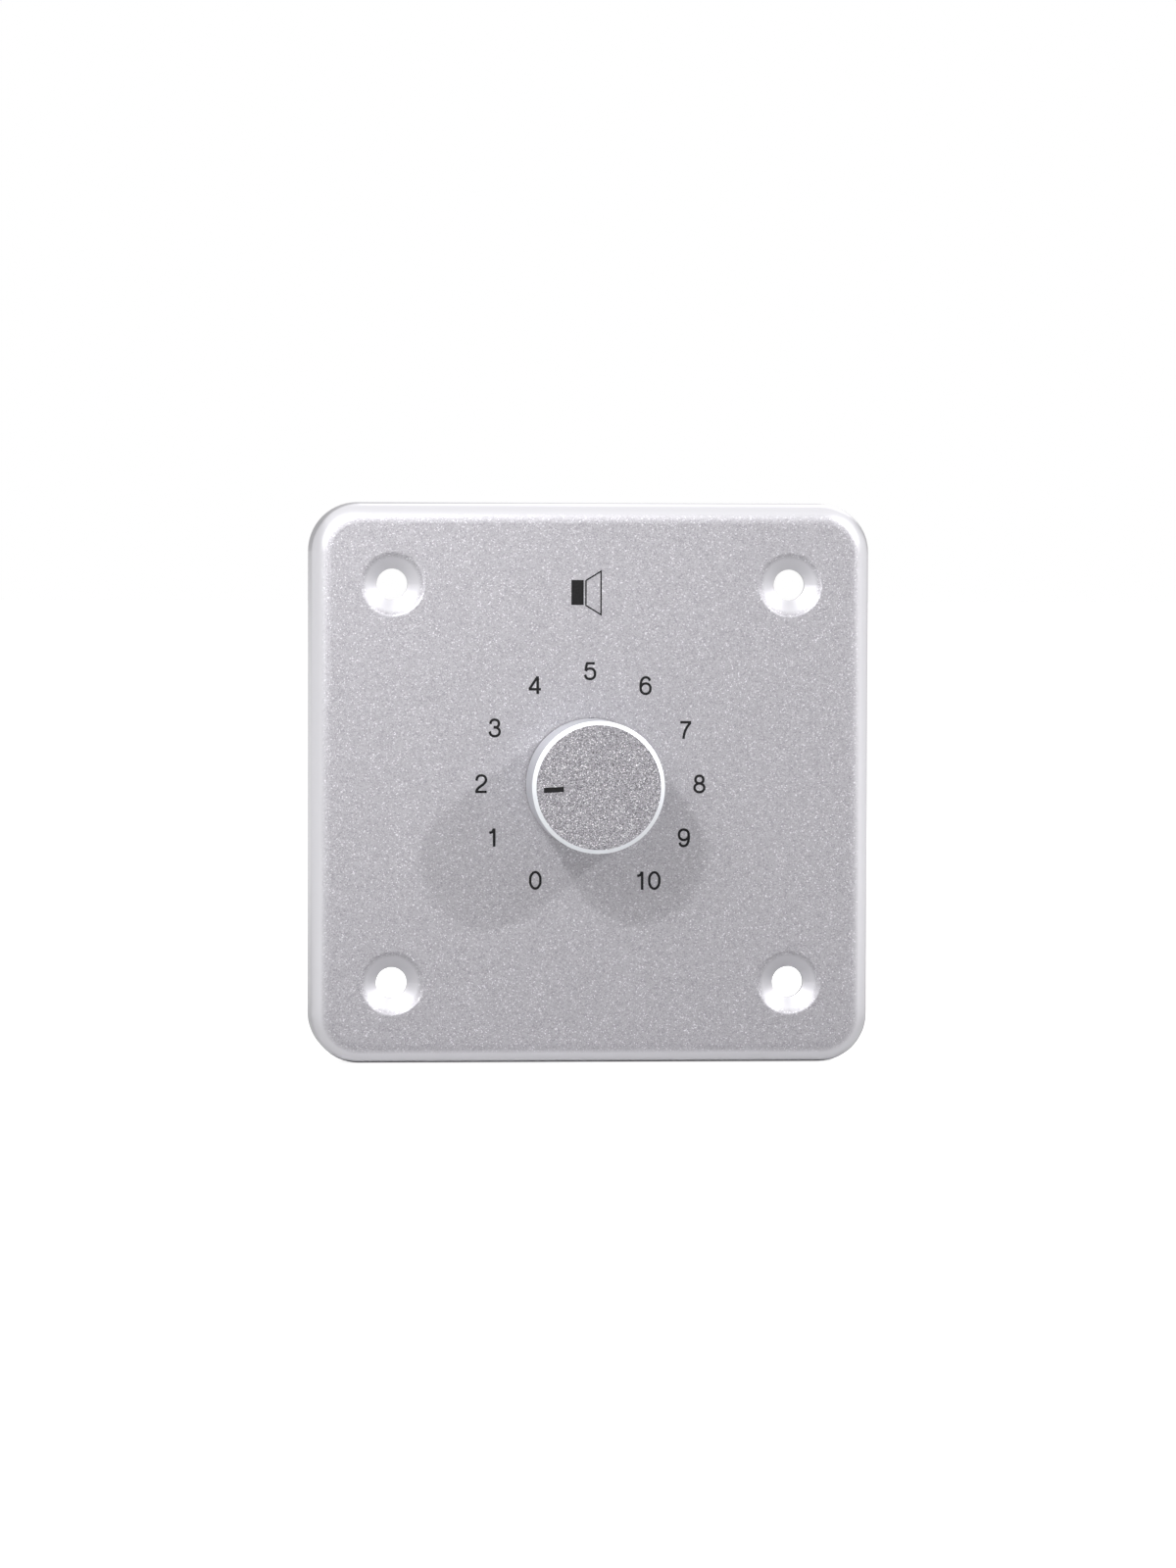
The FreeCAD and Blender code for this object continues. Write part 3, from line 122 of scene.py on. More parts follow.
# Pointer groove, as milled in the knob's top; its paint lies a little lower than the top
POINTER_DEG = -93.0
POINTER_INNER_R = 4.9
POINTER_LENGTH = 2.85
POINTER_WIDTH = 0.75
POINTER_DEPTH = 0.2
POINTER_PAINT_DROP = 0.04
POINTER_WALL_GAP = 0.01

# Pins that come through the circuit board
CONTACT_CIRCLE_R = 8.7
CONTACT_PIN_R = 0.45
COMMON_RING_R = 4.5
BOBBIN_PINS = 6
BOBBIN_PIN_PITCH = 5.0
BOBBIN_PIN_Z = 13.75
BOBBIN_PIN_R = 0.4
TERMINAL_POLES = 4
TERMINAL_PITCH = 5.08
TERMINAL_PIN_Z = -22.0
TERMINAL_PIN_R = 0.5
STUD_X = 19.5
STUD_Z = 14.5
STUD_HOLE_R = 1.65

# Solder, copper, mask and legend of the circuit board, whose mask is a thin skin on each face
SOLDER_REACH = 0.6
SOLDER_HEIGHT = 0.75
COPPER = 0.05
TRACE_WIDTH = 0.7
VIA_R = 0.55
VIA_HOLE_R = 0.2
SCREW_PAD_R = 3.4
MASK_FULL = 0.03
MASK_END = 0.06
LEGEND_LINE = 0.18
LEGEND_HEIGHT = 0.03
LEGEND_MARGIN = 0.5

# Core of the transformer: E and I sheets, six legs' widths across
SHEETS = 30
LEGS_ACROSS = 6
SHEET_STEP = 0.05
SHEET_FRAME = 1.0
SHEET_GAP = 0.12

# Wires of the coil: where each starts in the winding and bends over the flange
WIRE_R = 0.12
WIRE_START_IN = 1.8
WIRE_START_DEPTH = 0.5
WIRE_BEND_DEPTH = 0.45
BEND_RUN = 0.4
BEND_RISE = 0.5

# The same wires: where each leaves the slot of the rail, swings to its pin and wraps it
SLOT_DEPTH = 0.55
SLOT_END_HEIGHT = 1.4
WIRE_LEAN = 0.2
WIRE_LEAD = 0.15
WIRE_SWING = 0.5
WRAP_HEIGHT = 0.75
WRAP_TURNS = 3
WRAP_POINTS = 8

# End of the winding's tape
TAPE_THICKNESS = 0.07
TAPE_MARGIN = 0.05
TAPE_CORNER_R = 3.0
TAPE_END_X = 6.5


# Helpers for materials
def colour(code):
    """Linear colour of an sRGB hex value."""
    shares = [int(code[i:i + 2], 16) / 255 for i in (1, 3, 5)]
    linear = [c / 12.92 if c <= 0.04045 else ((c + 0.055) / 1.055) ** 2.4 for c in shares]
    return (*linear, 1.0)


def grey(level):
    """Linear colour of equal parts."""
    return (level, level, level, 1.0)


def add(tree, kind, inputs=None, **settings):
    """Adds a node; inputs gives its sockets values or the outputs that feed them."""
    made = tree.nodes.new(kind)
    for name, value in settings.items():
        setattr(made, name, value)
    feed(tree, made, inputs or {})
    return made


def feed(tree, node, inputs):
    """Gives sockets of a node their values or the outputs that feed them."""
    for socket, value in inputs.items():
        if isinstance(value, bpy.types.NodeSocket):
            tree.links.new(value, node.inputs[socket])
        else:
            node.inputs[socket].default_value = value


def set_stops(ramp, stops):
    """Gives a colour ramp its stops, from (place, colour) pairs."""
    elements = ramp.color_ramp.elements
    while len(elements) < len(stops):
        elements.new(0.5)
    for element, (place, value) in zip(elements, stops):
        element.position = place
        element.color = value


def new_material(name):
    """Empty material with its tree, Principled shader and object coordinates."""
    material = bpy.data.materials.new(name)
    material.use_nodes = True
    tree = material.node_tree
    shader = tree.nodes["Principled BSDF"]
    place = add(tree, "ShaderNodeTexCoord").outputs["Object"]
    return material, tree, shader, place


def per_mm(size):
    """Scale of a texture whose cells or patches measure this many millimetres."""
    return 1 / (size * MM)


def per_wave(size):
    """Scale of a wave texture whose bands repeat every so many millimetres."""
    return math.pi / 10 / (size * MM)


def mottled(tree, place, patch_mm, dark, light):
    """Colour that drifts between two tones, in patches of a given size."""
    patches = add(tree, "ShaderNodeTexNoise", {"Vector": place, "Scale": per_mm(patch_mm), "Detail": 3.0})
    ramp = add(tree, "ShaderNodeValToRGB", {"Fac": patches.outputs["Fac"]})
    set_stops(ramp, [(0.3, colour(dark)), (0.7, colour(light))])
    return ramp.outputs["Color"]


def fine_relief(tree, place, grain_mm, depth_mm, smooth, rough):
    """Normal and roughness of a surface covered with tiny bumps of one size."""
    noise = add(tree, "ShaderNodeTexNoise", {"Vector": place, "Scale": per_mm(grain_mm), "Detail": 2.0})
    bumps = noise.outputs["Fac"]
    normal = add(tree, "ShaderNodeBump", {"Height": bumps, "Distance": depth_mm * MM}).outputs["Normal"]
    gloss = add(tree, "ShaderNodeMapRange", {"Value": bumps, "From Min": 0.3, "From Max": 0.7,
                                             "To Min": smooth, "To Max": rough}).outputs["Result"]
    return {"Normal": normal, "Roughness": gloss}


def grained(name, patch_mm, tones, relief, metallic=0.0):
    """Material whose colour drifts between two tones, under the bumps that fine_relief makes."""
    material, tree, shader, place = new_material(name)
    feed(tree, shader, {"Base Color": mottled(tree, place, patch_mm, *tones), "Metallic": metallic,
                        **fine_relief(tree, place, *relief)})
    return material


def blasted_grain(tree, place, grit_mm, dark, base, bright, painted_glint_share):
    """Colour of a blasted surface, and the height of its pits.

    Cells of grit size differ in tone, and a share of them are painted bright as glints: a painted highlight
    in place of the sparkle that the grit's facets give under light. Real grit is finer; it is drawn as
    coarse as it needs to show."""
    cells = add(tree, "ShaderNodeTexVoronoi", {"Vector": place, "Scale": per_mm(grit_mm)})
    height = add(tree, "ShaderNodeSeparateColor", {"Color": cells.outputs["Color"]}).outputs["Red"]
    ramp = add(tree, "ShaderNodeValToRGB", {"Fac": height})
    # The last stop paints the brightest cells as glints, a painted highlight rather than a tone of the metal
    set_stops(ramp, [(0.0, colour(dark)), (0.5, colour(base)), (1 - painted_glint_share, colour(base)),
                     (1.0, colour(bright))])
    return ramp.outputs["Color"], height


def pressed_aluminium():
    """Face plate: pressed aluminium sheet, blasted fine on its face and anodised.

    The face looks silver grey with tiny flakes, whose brightest cells are painted glints; the roundings,
    the walls and the dimples stay smooth, so they look brighter and mirror the room softly."""
    material, tree, shader, place = new_material("blasted_anodised_aluminium")
    # Without the signs of x and z, the axis of one dimple serves for all four
    mirrored = add(tree, "ShaderNodeVectorMath", {0: place}, operation="ABSOLUTE").outputs[0]
    across = add(tree, "ShaderNodeVectorMath", {0: mirrored, 1: (1, 0, 1)}, operation="MULTIPLY").outputs[0]
    from_axis = add(tree, "ShaderNodeVectorMath", {0: across, 1: (DIMPLE_XZ * MM, 0, DIMPLE_XZ * MM)},
                    operation="DISTANCE").outputs["Value"]
    dimple = add(tree, "ShaderNodeMapRange", {
        "Value": from_axis, "From Min": DIMPLE_OUTER_R * MM,
        "From Max": (DIMPLE_OUTER_R - DIMPLE_EDGE) * MM}).outputs["Result"]
    depth = add(tree, "ShaderNodeSeparateXYZ", {"Vector": place}).outputs["Y"]
    sunk = add(tree, "ShaderNodeMath", {0: dimple, 1: DIMPLE_BLAST_LOSS * MM}, operation="MULTIPLY")
    depth = add(tree, "ShaderNodeMath", {0: depth, 1: sunk.outputs[0]}, operation="SUBTRACT").outputs[0]
    face = add(tree, "ShaderNodeMapRange", {
        "Value": depth, "From Min": (FACE_Y + PLATE_BLAST_END) * MM,
        "From Max": (FACE_Y + PLATE_BLAST_FULL) * MM}, interpolation_type="SMOOTHSTEP").outputs["Result"]
    # Grit tone of the face; its brightest tone, #e2e1e5, is painted glints on a tenth of the cells
    grain, pit = blasted_grain(tree, place, PLATE_GRIT, "#9e9ca1", "#b6b4b9", "#e2e1e5", 0.1)
    cloud = add(tree, "ShaderNodeTexNoise", {"Vector": place, "Scale": per_mm(1.1), "Detail": 3.0})
    shade = add(tree, "ShaderNodeMapRange", {"Value": cloud.outputs["Fac"], "To Min": 0.88, "To Max": 1.05})
    clouded = add(tree, "ShaderNodeMixRGB", {"Fac": 1.0, "Color1": grain, "Color2": shade.outputs["Result"]},
                  blend_type="MULTIPLY")
    smooth = add(tree, "ShaderNodeMixRGB", {"Fac": dimple, "Color1": colour("#d3d2d6"),
                                            "Color2": colour("#c3c2c6")})
    mixed = add(tree, "ShaderNodeMixRGB", {"Fac": face, "Color1": smooth.outputs["Color"],
                                           "Color2": clouded.outputs["Color"]})
    satin = add(tree, "ShaderNodeMapRange", {"Value": dimple, "To Min": 0.32, "To Max": 0.52})
    rough = add(tree, "ShaderNodeMapRange", {"Value": face, "To Min": satin.outputs["Result"],
                                             "To Max": 0.55})
    pits = add(tree, "ShaderNodeBump", {"Height": pit, "Strength": face, "Distance": 0.0035 * MM})
    feed(tree, shader, {"Base Color": mixed.outputs["Color"], "Metallic": 1.0,
                        "Roughness": rough.outputs["Result"], "Normal": pits.outputs["Normal"]})
    return material


def turned_knob_aluminium():
    """Knob shell: turned aluminium, top blasted coarse, bevel cut bright with a diamond tool.

    The top is blasted darker and coarser than the plate, with painted glints on a share of its grit cells;
    the bevel is a clean white ring and the side keeps fine rings of the lathe."""
    material, tree, shader, place = new_material("turned_knob_aluminium")
    depth = add(tree, "ShaderNodeSeparateXYZ", {"Vector": place}).outputs["Y"]
    top = add(tree, "ShaderNodeMapRange", {
        "Value": depth, "From Min": (KNOB_TOP_Y + KNOB_BLAST_END) * MM,
        "From Max": (KNOB_TOP_Y + KNOB_BLAST_FULL) * MM}).outputs["Result"]
    bevel = add(tree, "ShaderNodeMapRange", {
        "Value": depth, "From Min": (KNOB_TOP_Y + KNOB_BEVEL + KNOB_BEVEL_EDGE) * MM,
        "From Max": (KNOB_TOP_Y + KNOB_BEVEL) * MM}).outputs["Result"]
    # Grit tone of the top; its brightest tone, #fbfafd, is painted glints on a share of the cells
    grain, pit = blasted_grain(tree, place, KNOB_GRIT, "#626065", "#a5a3a8", "#fbfafd", 0.14)
    bare = add(tree, "ShaderNodeMixRGB", {"Fac": bevel, "Color1": colour("#d0d2d6"),
                                          "Color2": colour("#e4e6ea")})
    mixed = add(tree, "ShaderNodeMixRGB", {"Fac": top, "Color1": bare.outputs["Color"], "Color2": grain})
    rings = add(tree, "ShaderNodeTexWave", {"Vector": place, "Scale": per_wave(0.14), "Distortion": 0.5},
                bands_direction="Y").outputs["Fac"]
    turned = add(tree, "ShaderNodeMapRange", {"Value": rings, "To Min": 0.4, "To Max": 0.47})
    rough = add(tree, "ShaderNodeMapRange", {"Value": top, "To Min": turned.outputs["Result"],
                                             "To Max": 0.55})
    marks = add(tree, "ShaderNodeBump", {"Height": rings, "Distance": 0.0015 * MM})
    pits = add(tree, "ShaderNodeBump", {"Height": pit, "Strength": top, "Distance": 0.006 * MM,
                                        "Normal": marks.outputs["Normal"]})
    feed(tree, shader, {"Base Color": mixed.outputs["Color"], "Metallic": 1.0,
                        "Roughness": rough.outputs["Result"], "Normal": pits.outputs["Normal"]})
    return material


def zinc_plated_steel():
    """Screws, spacers, washers, nut and strap: steel, zinc plated and blue passivated.

    Cool silver that drifts towards straw here and there, with a soft grained gloss."""
    return grained("blue_passivated_zinc_plating", 4.0, ("#b8bcc1", "#c4c4c1"),
                   (0.15, 0.004, 0.26, 0.42), 1.0)


def polished_ball_steel():
    """Detent balls: hardened chrome steel, ground and lapped to a mirror with faint marks."""
    return grained("lapped_chrome_steel", 0.6, ("#c4c5c9", "#d4d5d8"), (0.05, 0.0005, 0.06, 0.14), 1.0)


def drawn_spring_wire():
    """Springs and knob clip: drawn and blued spring steel, grey brown with a dull shine."""
    return grained("drawn_spring_steel", 0.8, ("#77746f", "#96938f"), (0.06, 0.001, 0.3, 0.45), 1.0)


def silver_plating():
    """Switch contacts: silver plated brass, pale and warm, with yellowish tarnish in patches."""
    return grained("tarnished_silver_plating", 1.2, ("#cbbf9a", "#e7e4da"), (0.08, 0.001, 0.18, 0.34), 1.0)


def nickel_plated_brass():
    """Clamp cages: stamped brass under thin nickel, a warm grey that shows some yellow."""
    return grained("nickel_plated_brass", 1.5, ("#b3a67f", "#d0cbbd"), (0.1, 0.002, 0.24, 0.38), 1.0)


def tinned_copper_wire():
    """Pins of coil and terminal: drawn copper wire, hot tinned, bright and faintly uneven."""
    return grained("tinned_copper_wire", 0.5, ("#b9b9b7", "#deddda"), (0.2, 0.006, 0.2, 0.38), 1.0)


def turned_steel():
    """Switch shaft: free-cutting steel, turned on a lathe, with fine rings round its axis."""
    material, tree, shader, place = new_material("turned_steel")
    rings = add(tree, "ShaderNodeTexWave", {"Vector": place, "Scale": per_wave(0.12), "Distortion": 0.4},
                bands_direction="Y").outputs["Fac"]
    gloss = add(tree, "ShaderNodeMapRange", {"Value": rings, "To Min": 0.2, "To Max": 0.36})
    marks = add(tree, "ShaderNodeBump", {"Height": rings, "Distance": 0.003 * MM})
    feed(tree, shader, {"Base Color": mottled(tree, place, 1.5, "#aeb0b3", "#c6c8ca"), "Metallic": 1.0,
                        "Roughness": gloss.outputs["Result"], "Normal": marks.outputs["Normal"]})
    return material


def moulded_plastic(name, tones, relief):
    """Injection moulding: nearly even colour, with the fine texture of the tool's wall."""
    return grained(name, 1.8, tones, relief)


def black_polyamide():
    """Switch housing and base: glass-filled polyamide; black, satin, with faint fibre streaks."""
    return moulded_plastic("glass_filled_black_polyamide", ("#131416", "#232427"), (0.25, 0.008, 0.38, 0.58))


def natural_acetal():
    """Switch rotor: uncoloured acetal; milky white and slightly waxy."""
    return moulded_plastic("natural_acetal", ("#dcd8c9", "#ebe8dd"), (0.4, 0.002, 0.3, 0.42))


def grey_abs():
    """Knob core: dark grey ABS with a spark-eroded, evenly matt texture."""
    return moulded_plastic("spark_eroded_grey_abs", ("#26272a", "#323337"), (0.12, 0.01, 0.5, 0.65))


def black_polyester():
    """Bobbin: moulded black polyester, a little glossier than the switch."""
    return moulded_plastic("moulded_black_polyester", ("#17171a", "#202124"), (0.5, 0.004, 0.3, 0.46))


def green_polyamide():
    """Terminal block: leaf green polyamide, satin, with a soft drift of the pigment."""
    return moulded_plastic("moulded_green_polyamide", ("#237a45", "#2f8b53"), (0.35, 0.005, 0.34, 0.5))


def masked_laminate():
    """Circuit board: woven glass in resin under green solder mask, its sawn rim left bare.

    The faces shine and show the weave faintly; the rim is dull straw with thin layers."""
    material, tree, shader, place = new_material("green_masked_glass_laminate")
    depth = add(tree, "ShaderNodeSeparateXYZ", {"Vector": place}).outputs["Y"]
    middle = add(tree, "ShaderNodeMath", {0: depth, 1: (BOARD_FRONT_Y + BOARD_REAR_Y) / 2 * MM},
                 operation="SUBTRACT").outputs[0]
    from_middle = add(tree, "ShaderNodeMath", {0: middle}, operation="ABSOLUTE").outputs[0]
    half = (BOARD_REAR_Y - BOARD_FRONT_Y) / 2
    masked = add(tree, "ShaderNodeMapRange", {"Value": from_middle, "From Min": (half - MASK_END) * MM,
                                              "From Max": (half - MASK_FULL) * MM}).outputs["Result"]
    warp, weft = [
        add(tree, "ShaderNodeTexWave", {"Vector": place, "Scale": per_wave(0.6), "Distortion": 0.6},
            bands_direction=axis).outputs["Fac"] for axis in "XZ"]
    cloth = add(tree, "ShaderNodeMath", {0: warp, 1: weft}, operation="MULTIPLY").outputs[0]
    green = add(tree, "ShaderNodeValToRGB", {"Fac": cloth})
    set_stops(green, [(0.0, colour("#0d4a2a")), (1.0, colour("#17603a"))])
    layers = add(tree, "ShaderNodeTexWave", {"Vector": place, "Scale": per_wave(0.2), "Distortion": 1.0},
                 bands_direction="Y").outputs["Fac"]
    rim = add(tree, "ShaderNodeValToRGB", {"Fac": layers})
    set_stops(rim, [(0.0, colour("#a39a62")), (1.0, colour("#c4bb86"))])
    mixed = add(tree, "ShaderNodeMixRGB", {"Fac": masked, "Color1": rim.outputs["Color"],
                                           "Color2": green.outputs["Color"]})
    gloss = add(tree, "ShaderNodeMapRange", {"Value": masked, "To Min": 0.75, "To Max": 0.24})
    swell = add(tree, "ShaderNodeBump", {"Height": cloth, "Distance": 0.004 * MM})
    feed(tree, shader, {"Base Color": mixed.outputs["Color"], "Roughness": gloss.outputs["Result"],
                        "Normal": swell.outputs["Normal"]})
    return material


def masked_copper():
    """Traces: copper foil under the green mask, which looks lighter and yellower there."""
    return grained("copper_under_green_mask", 1.5, ("#2a7d45", "#36894f"), (0.3, 0.002, 0.2, 0.3))


def tin_solder():
    """Solder joints and bare pads: tin alloy, bright, with a soft frosting."""
    return grained("tin_solder", 0.7, ("#b4b7bb", "#dadcdf"), (0.25, 0.01, 0.16, 0.34), 1.0)


def legend_ink():
    """Component outlines: white epoxy ink, matt and slightly thin in places."""
    return grained("white_legend_ink", 0.4, ("#cfd4cd", "#ecece7"), (0.2, 0.002, 0.5, 0.65))


def core_steel():
    """Transformer core: stamped silicon steel sheets, varnished as a stack.

    Dark grey under amber varnish, with a brown line where two sheets meet."""
    material, tree, shader, place = new_material("varnished_silicon_steel")
    lines = add(tree, "ShaderNodeTexWave", {"Vector": place, "Scale": per_wave(0.5), "Distortion": 0.3},
                bands_direction="Z").outputs["Fac"]
    edge = add(tree, "ShaderNodeValToRGB", {"Fac": lines})
    set_stops(edge, [(0.0, colour("#3b2e26")), (0.35, colour("#e2dcd6"))])
    facing = add(tree, "ShaderNodeTexCoord").outputs["Normal"]
    upward = add(tree, "ShaderNodeSeparateXYZ", {"Vector": facing}).outputs["Z"]
    flat = add(tree, "ShaderNodeMath", {0: upward}, operation="ABSOLUTE").outputs[0]
    side = add(tree, "ShaderNodeMapRange", {"Value": flat, "From Min": 0.8,
                                            "From Max": 0.4}).outputs["Result"]
    steel = mottled(tree, place, 3.0, "#5d5e63", "#7f7c76")
    tone = add(tree, "ShaderNodeMixRGB", {"Fac": side, "Color1": steel, "Color2": edge.outputs["Color"]},
               blend_type="MULTIPLY")
    feed(tree, shader, {"Base Color": tone.outputs["Color"], "Metallic": 0.75, "Coat Weight": 0.35,
                        "Coat Roughness": 0.25, **fine_relief(tree, place, 0.3, 0.006, 0.34, 0.52)})
    return material


def polyester_tape():
    """Winding: amber polyester film over copper wires, whose turns press through faintly; painted shade
    darkens the troughs between them.
    """
    material, tree, shader, place = new_material("amber_polyester_tape")
    turns = add(tree, "ShaderNodeTexWave", {"Vector": place, "Scale": per_wave(0.5), "Distortion": 0.8},
                bands_direction="Y").outputs["Fac"]
    film = mottled(tree, place, 2.5, "#b98518", "#dcaa34")
    # Painted shade: the film is darker in the troughs between the turns, following the ridges' wave
    shade = add(tree, "ShaderNodeMapRange", {"Value": turns, "To Min": 0.82, "To Max": 1.0})
    tone = add(tree, "ShaderNodeMixRGB", {"Fac": 1.0, "Color1": film, "Color2": shade.outputs["Result"]},
               blend_type="MULTIPLY")
    ridges = add(tree, "ShaderNodeBump", {"Height": turns, "Distance": 0.02 * MM})
    gloss = add(tree, "ShaderNodeMapRange", {"Value": turns, "To Min": 0.3, "To Max": 0.18})
    feed(tree, shader, {"Base Color": tone.outputs["Color"], "Roughness": gloss.outputs["Result"],
                        "Normal": ridges.outputs["Normal"]})
    return material


def enamelled_wire():
    """Coil wires: copper under clear brown enamel, red brown and glossy."""
    return grained("enamelled_copper_wire", 1.0, ("#8a3c1b", "#b4602e"), (0.1, 0.001, 0.2, 0.3), 0.9)


def screen_ink():
    """Black screen-printing ink: matt, slightly uneven, nearly opaque."""
    material, tree, shader, place = new_material("black_screen_ink")
    film = add(tree, "ShaderNodeTexNoise", {"Vector": place, "Scale": per_mm(0.3), "Detail": 2.0})
    ramp = add(tree, "ShaderNodeValToRGB", {"Fac": film.outputs["Fac"]})
    set_stops(ramp, [(0.3, colour("#0e0d0f")), (0.75, colour("#1b1a1c"))])
    feed(tree, shader, {"Base Color": ramp.outputs["Color"], "Roughness": 0.7, "Specular IOR Level": 0.2})
    return material


# Helpers for meshes
def finished(name, bm, material):
    """Object that holds a finished bmesh, in metres, with its material."""
    mesh = bpy.data.meshes.new(name)
    bm.to_mesh(mesh)
    bm.free()
    made = bpy.data.objects.new(name, mesh)
    bpy.context.scene.collection.objects.link(made)
    mesh.materials.append(material)
    return made


def piece(name, build, material, body):
    """Mesh object made by a bmesh function in millimetres, riding on a body."""
    bm = bmesh.new()
    build(bm)
    bmesh.ops.remove_doubles(bm, verts=bm.verts, dist=MERGE)
    bmesh.ops.recalc_face_normals(bm, faces=bm.faces)
    bmesh.ops.transform(bm, matrix=Matrix.Scale(MM, 4), verts=bm.verts)
    made = finished(name, bm, material)
    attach(made, body)


def on_ring(radius_x, radius_z, degrees):
    """The x and z of a point on the dial's ring, clockwise from twelve o'clock."""
    angle = math.radians(degrees)
    return radius_x * math.sin(angle), radius_z * math.cos(angle)


# Strokes of the numerals: (closed, points), x to the right and z up from the middle of a numeral
OVAL = (True, [(0, 1.17), (0.57, 0.75), (0.72, 0), (0.57, -0.75),
               (0, -1.17), (-0.57, -0.75), (-0.72, 0), (-0.57, 0.75)])
SIX = [
    (True, [(0.02, 0.3), (0.52, 0.1), (0.7, -0.44), (0.52, -0.97),
            (0.02, -1.17), (-0.5, -0.95), (-0.68, -0.44), (-0.5, 0.08)]),
    (False, [(0.62, 0.68), (0.45, 1.02), (0.05, 1.17), (-0.42, 0.95), (-0.66, 0.4), (-0.7, -0.4)]),
]
NUMERAL_STROKES = {
    "0": [OVAL],
    "1": [
        (False, [(-0.45, 0.66), (-0.02, 0.78), (0.2, 1.2)]),
        (False, [(0.26, 1.28), (0.26, -1.32)]),
    ],
    "2": [
        (False, [(-0.68, 0.42), (-0.48, 0.98), (0.03, 1.17), (0.53, 0.96), (0.68, 0.52),
                 (0.45, 0.05), (-0.1, -0.38), (-0.52, -0.76), (-0.7, -1.2)]),
        (False, [(-0.84, -1.16), (0.78, -1.16)]),
    ],
    "3": [
        (False, [(-0.64, 0.56), (-0.46, 1.0), (0.0, 1.17), (0.45, 1.0), (0.6, 0.62),
                 (0.42, 0.22), (-0.14, 0.1)]),
        (False, [(-0.16, 0.08), (0.46, -0.06), (0.7, -0.52), (0.5, -1.0), (0.0, -1.17),
                 (-0.5, -1.0), (-0.72, -0.5)]),
    ],
    "4": [
        (False, [(0.42, 1.22), (0.42, -1.28)]),
        (False, [(0.38, 1.14), (-0.76, -0.6)]),
        (False, [(-0.86, -0.62), (0.88, -0.62)]),
    ],
    "5": [
        (False, [(0.66, 1.06), (-0.56, 1.06)]),
        (False, [(-0.46, 1.12), (-0.64, -0.02)]),
        (False, [(-0.66, 0.0), (-0.36, 0.24), (0.03, 0.32), (0.52, 0.1), (0.7, -0.44),
                 (0.5, -0.98), (0.0, -1.17), (-0.5, -1.02), (-0.73, -0.56)]),
    ],
    "6": SIX,
    "7": [
        (False, [(-0.76, 1.08), (0.78, 1.08)]),
        (False, [(0.7, 1.04), (0.2, 0.36), (-0.14, -0.4), (-0.3, -1.28)]),
    ],
    "8": [
        (True, [(0, 1.17), (0.4, 1.02), (0.56, 0.62), (0.4, 0.23), (0, 0.09),
                (-0.4, 0.23), (-0.56, 0.62), (-0.4, 1.02)]),
        (True, [(0, 0.07), (0.48, -0.1), (0.7, -0.54), (0.48, -0.99), (0, -1.17),
                (-0.48, -0.99), (-0.7, -0.54), (-0.48, -0.1)]),
    ],
    "9": [(closed, [(-x, -z) for x, z in points]) for closed, points in SIX],
}


def drawn(strokes, width, handle="AUTO", steps=6):
    """Mesh of lines drawn with a round pen, from (closed, points) strokes."""
    curve = bpy.data.curves.new("pen", "CURVE")
    curve.dimensions = "3D"
    curve.bevel_depth = width / 2
    curve.bevel_resolution = 3
    curve.resolution_u = steps
    curve.use_fill_caps = True
    for closed, points in strokes:
        spline = curve.splines.new("BEZIER")
        spline.bezier_points.add(len(points) - 1)
        spline.use_cyclic_u = closed
        for point, place in zip(spline.bezier_points, points):
            point.co = place
            point.handle_left_type = point.handle_right_type = handle
    pen = bpy.data.objects.new("pen", curve)
    bpy.context.scene.collection.objects.link(pen)
    bpy.context.view_layer.update()
    mesh = bpy.data.meshes.new_from_object(pen)
    bpy.data.objects.remove(pen)
    return mesh


def printed(name, strokes, width, height, plane_y, material, handle="AUTO"):
    """Lines of a width printed or etched on the plane at plane_y, standing up by a height."""
    solid = [(closed, [(x, 0, z) for x, z in points]) for closed, points in strokes]
    flat = drawn(solid, width, handle)
    press = Matrix.Diagonal((1, height / (width / 2), 1, 1))
    flat.transform(Matrix.Translation((0, plane_y, 0)) @ press)
    piece(name, lambda bm: bm.from_mesh(flat), material, "panel")


def printed_numerals(ink):
    """Numbers 0 to 10 on their ring, as one print for each."""
    for number in range(STEPS):
        x, z = on_ring(NUMERAL_RING_X, NUMERAL_RING_Z, FIRST_STEP_DEG + STEP_DEG * number)
        nudge_x, nudge_z = NUMERAL_NUDGES[number]
        figures = str(number)
        strokes = []
        for place, figure in enumerate(figures):
            shift_x = x + nudge_x + (place - (len(figures) - 1) / 2) * FIGURE_SPACING
            for closed, points in NUMERAL_STROKES[figure]:
                strokes.append((closed, [(px + shift_x, pz + z + nudge_z) for px, pz in points]))
        printed(f"numeral_{number}", strokes, NUMERAL_STROKE, INK_THICKNESS, FACE_Y, ink)


def faces_of(parts):
    """The faces among the parts that an operator returns."""
    return [part for part in parts if isinstance(part, bmesh.types.BMFace)]


def pulled(bm, faces, step):
    """Pulls copies of faces out along a step, with walls between; returns what is new."""
    parts = bmesh.ops.extrude_face_region(bm, geom=faces, use_keep_orig=True)["geom"]
    moved = [part for part in parts if isinstance(part, bmesh.types.BMVert)]
    bmesh.ops.translate(bm, vec=step, verts=moved)
    return parts


def raised_outline(bm, corners, step, line=None):
    """Flat shape pulled out along a step or, with a line's width, only its outline."""
    face = bm.faces.new([bm.verts.new(corner) for corner in corners])
    bm.normal_update()
    flat = [face]
    if line:
        flat = bmesh.ops.inset_region(bm, faces=flat, thickness=line, use_boundary=True,
                                      use_even_offset=True)["faces"]
        bmesh.ops.delete(bm, geom=[face], context="FACES_ONLY")
    pulled(bm, flat, step)


def rectangle(left, bottom, right, top):
    """Corners of a rectangle in the plane of the face."""
    return [(left, bottom), (right, bottom), (right, top), (left, top)]


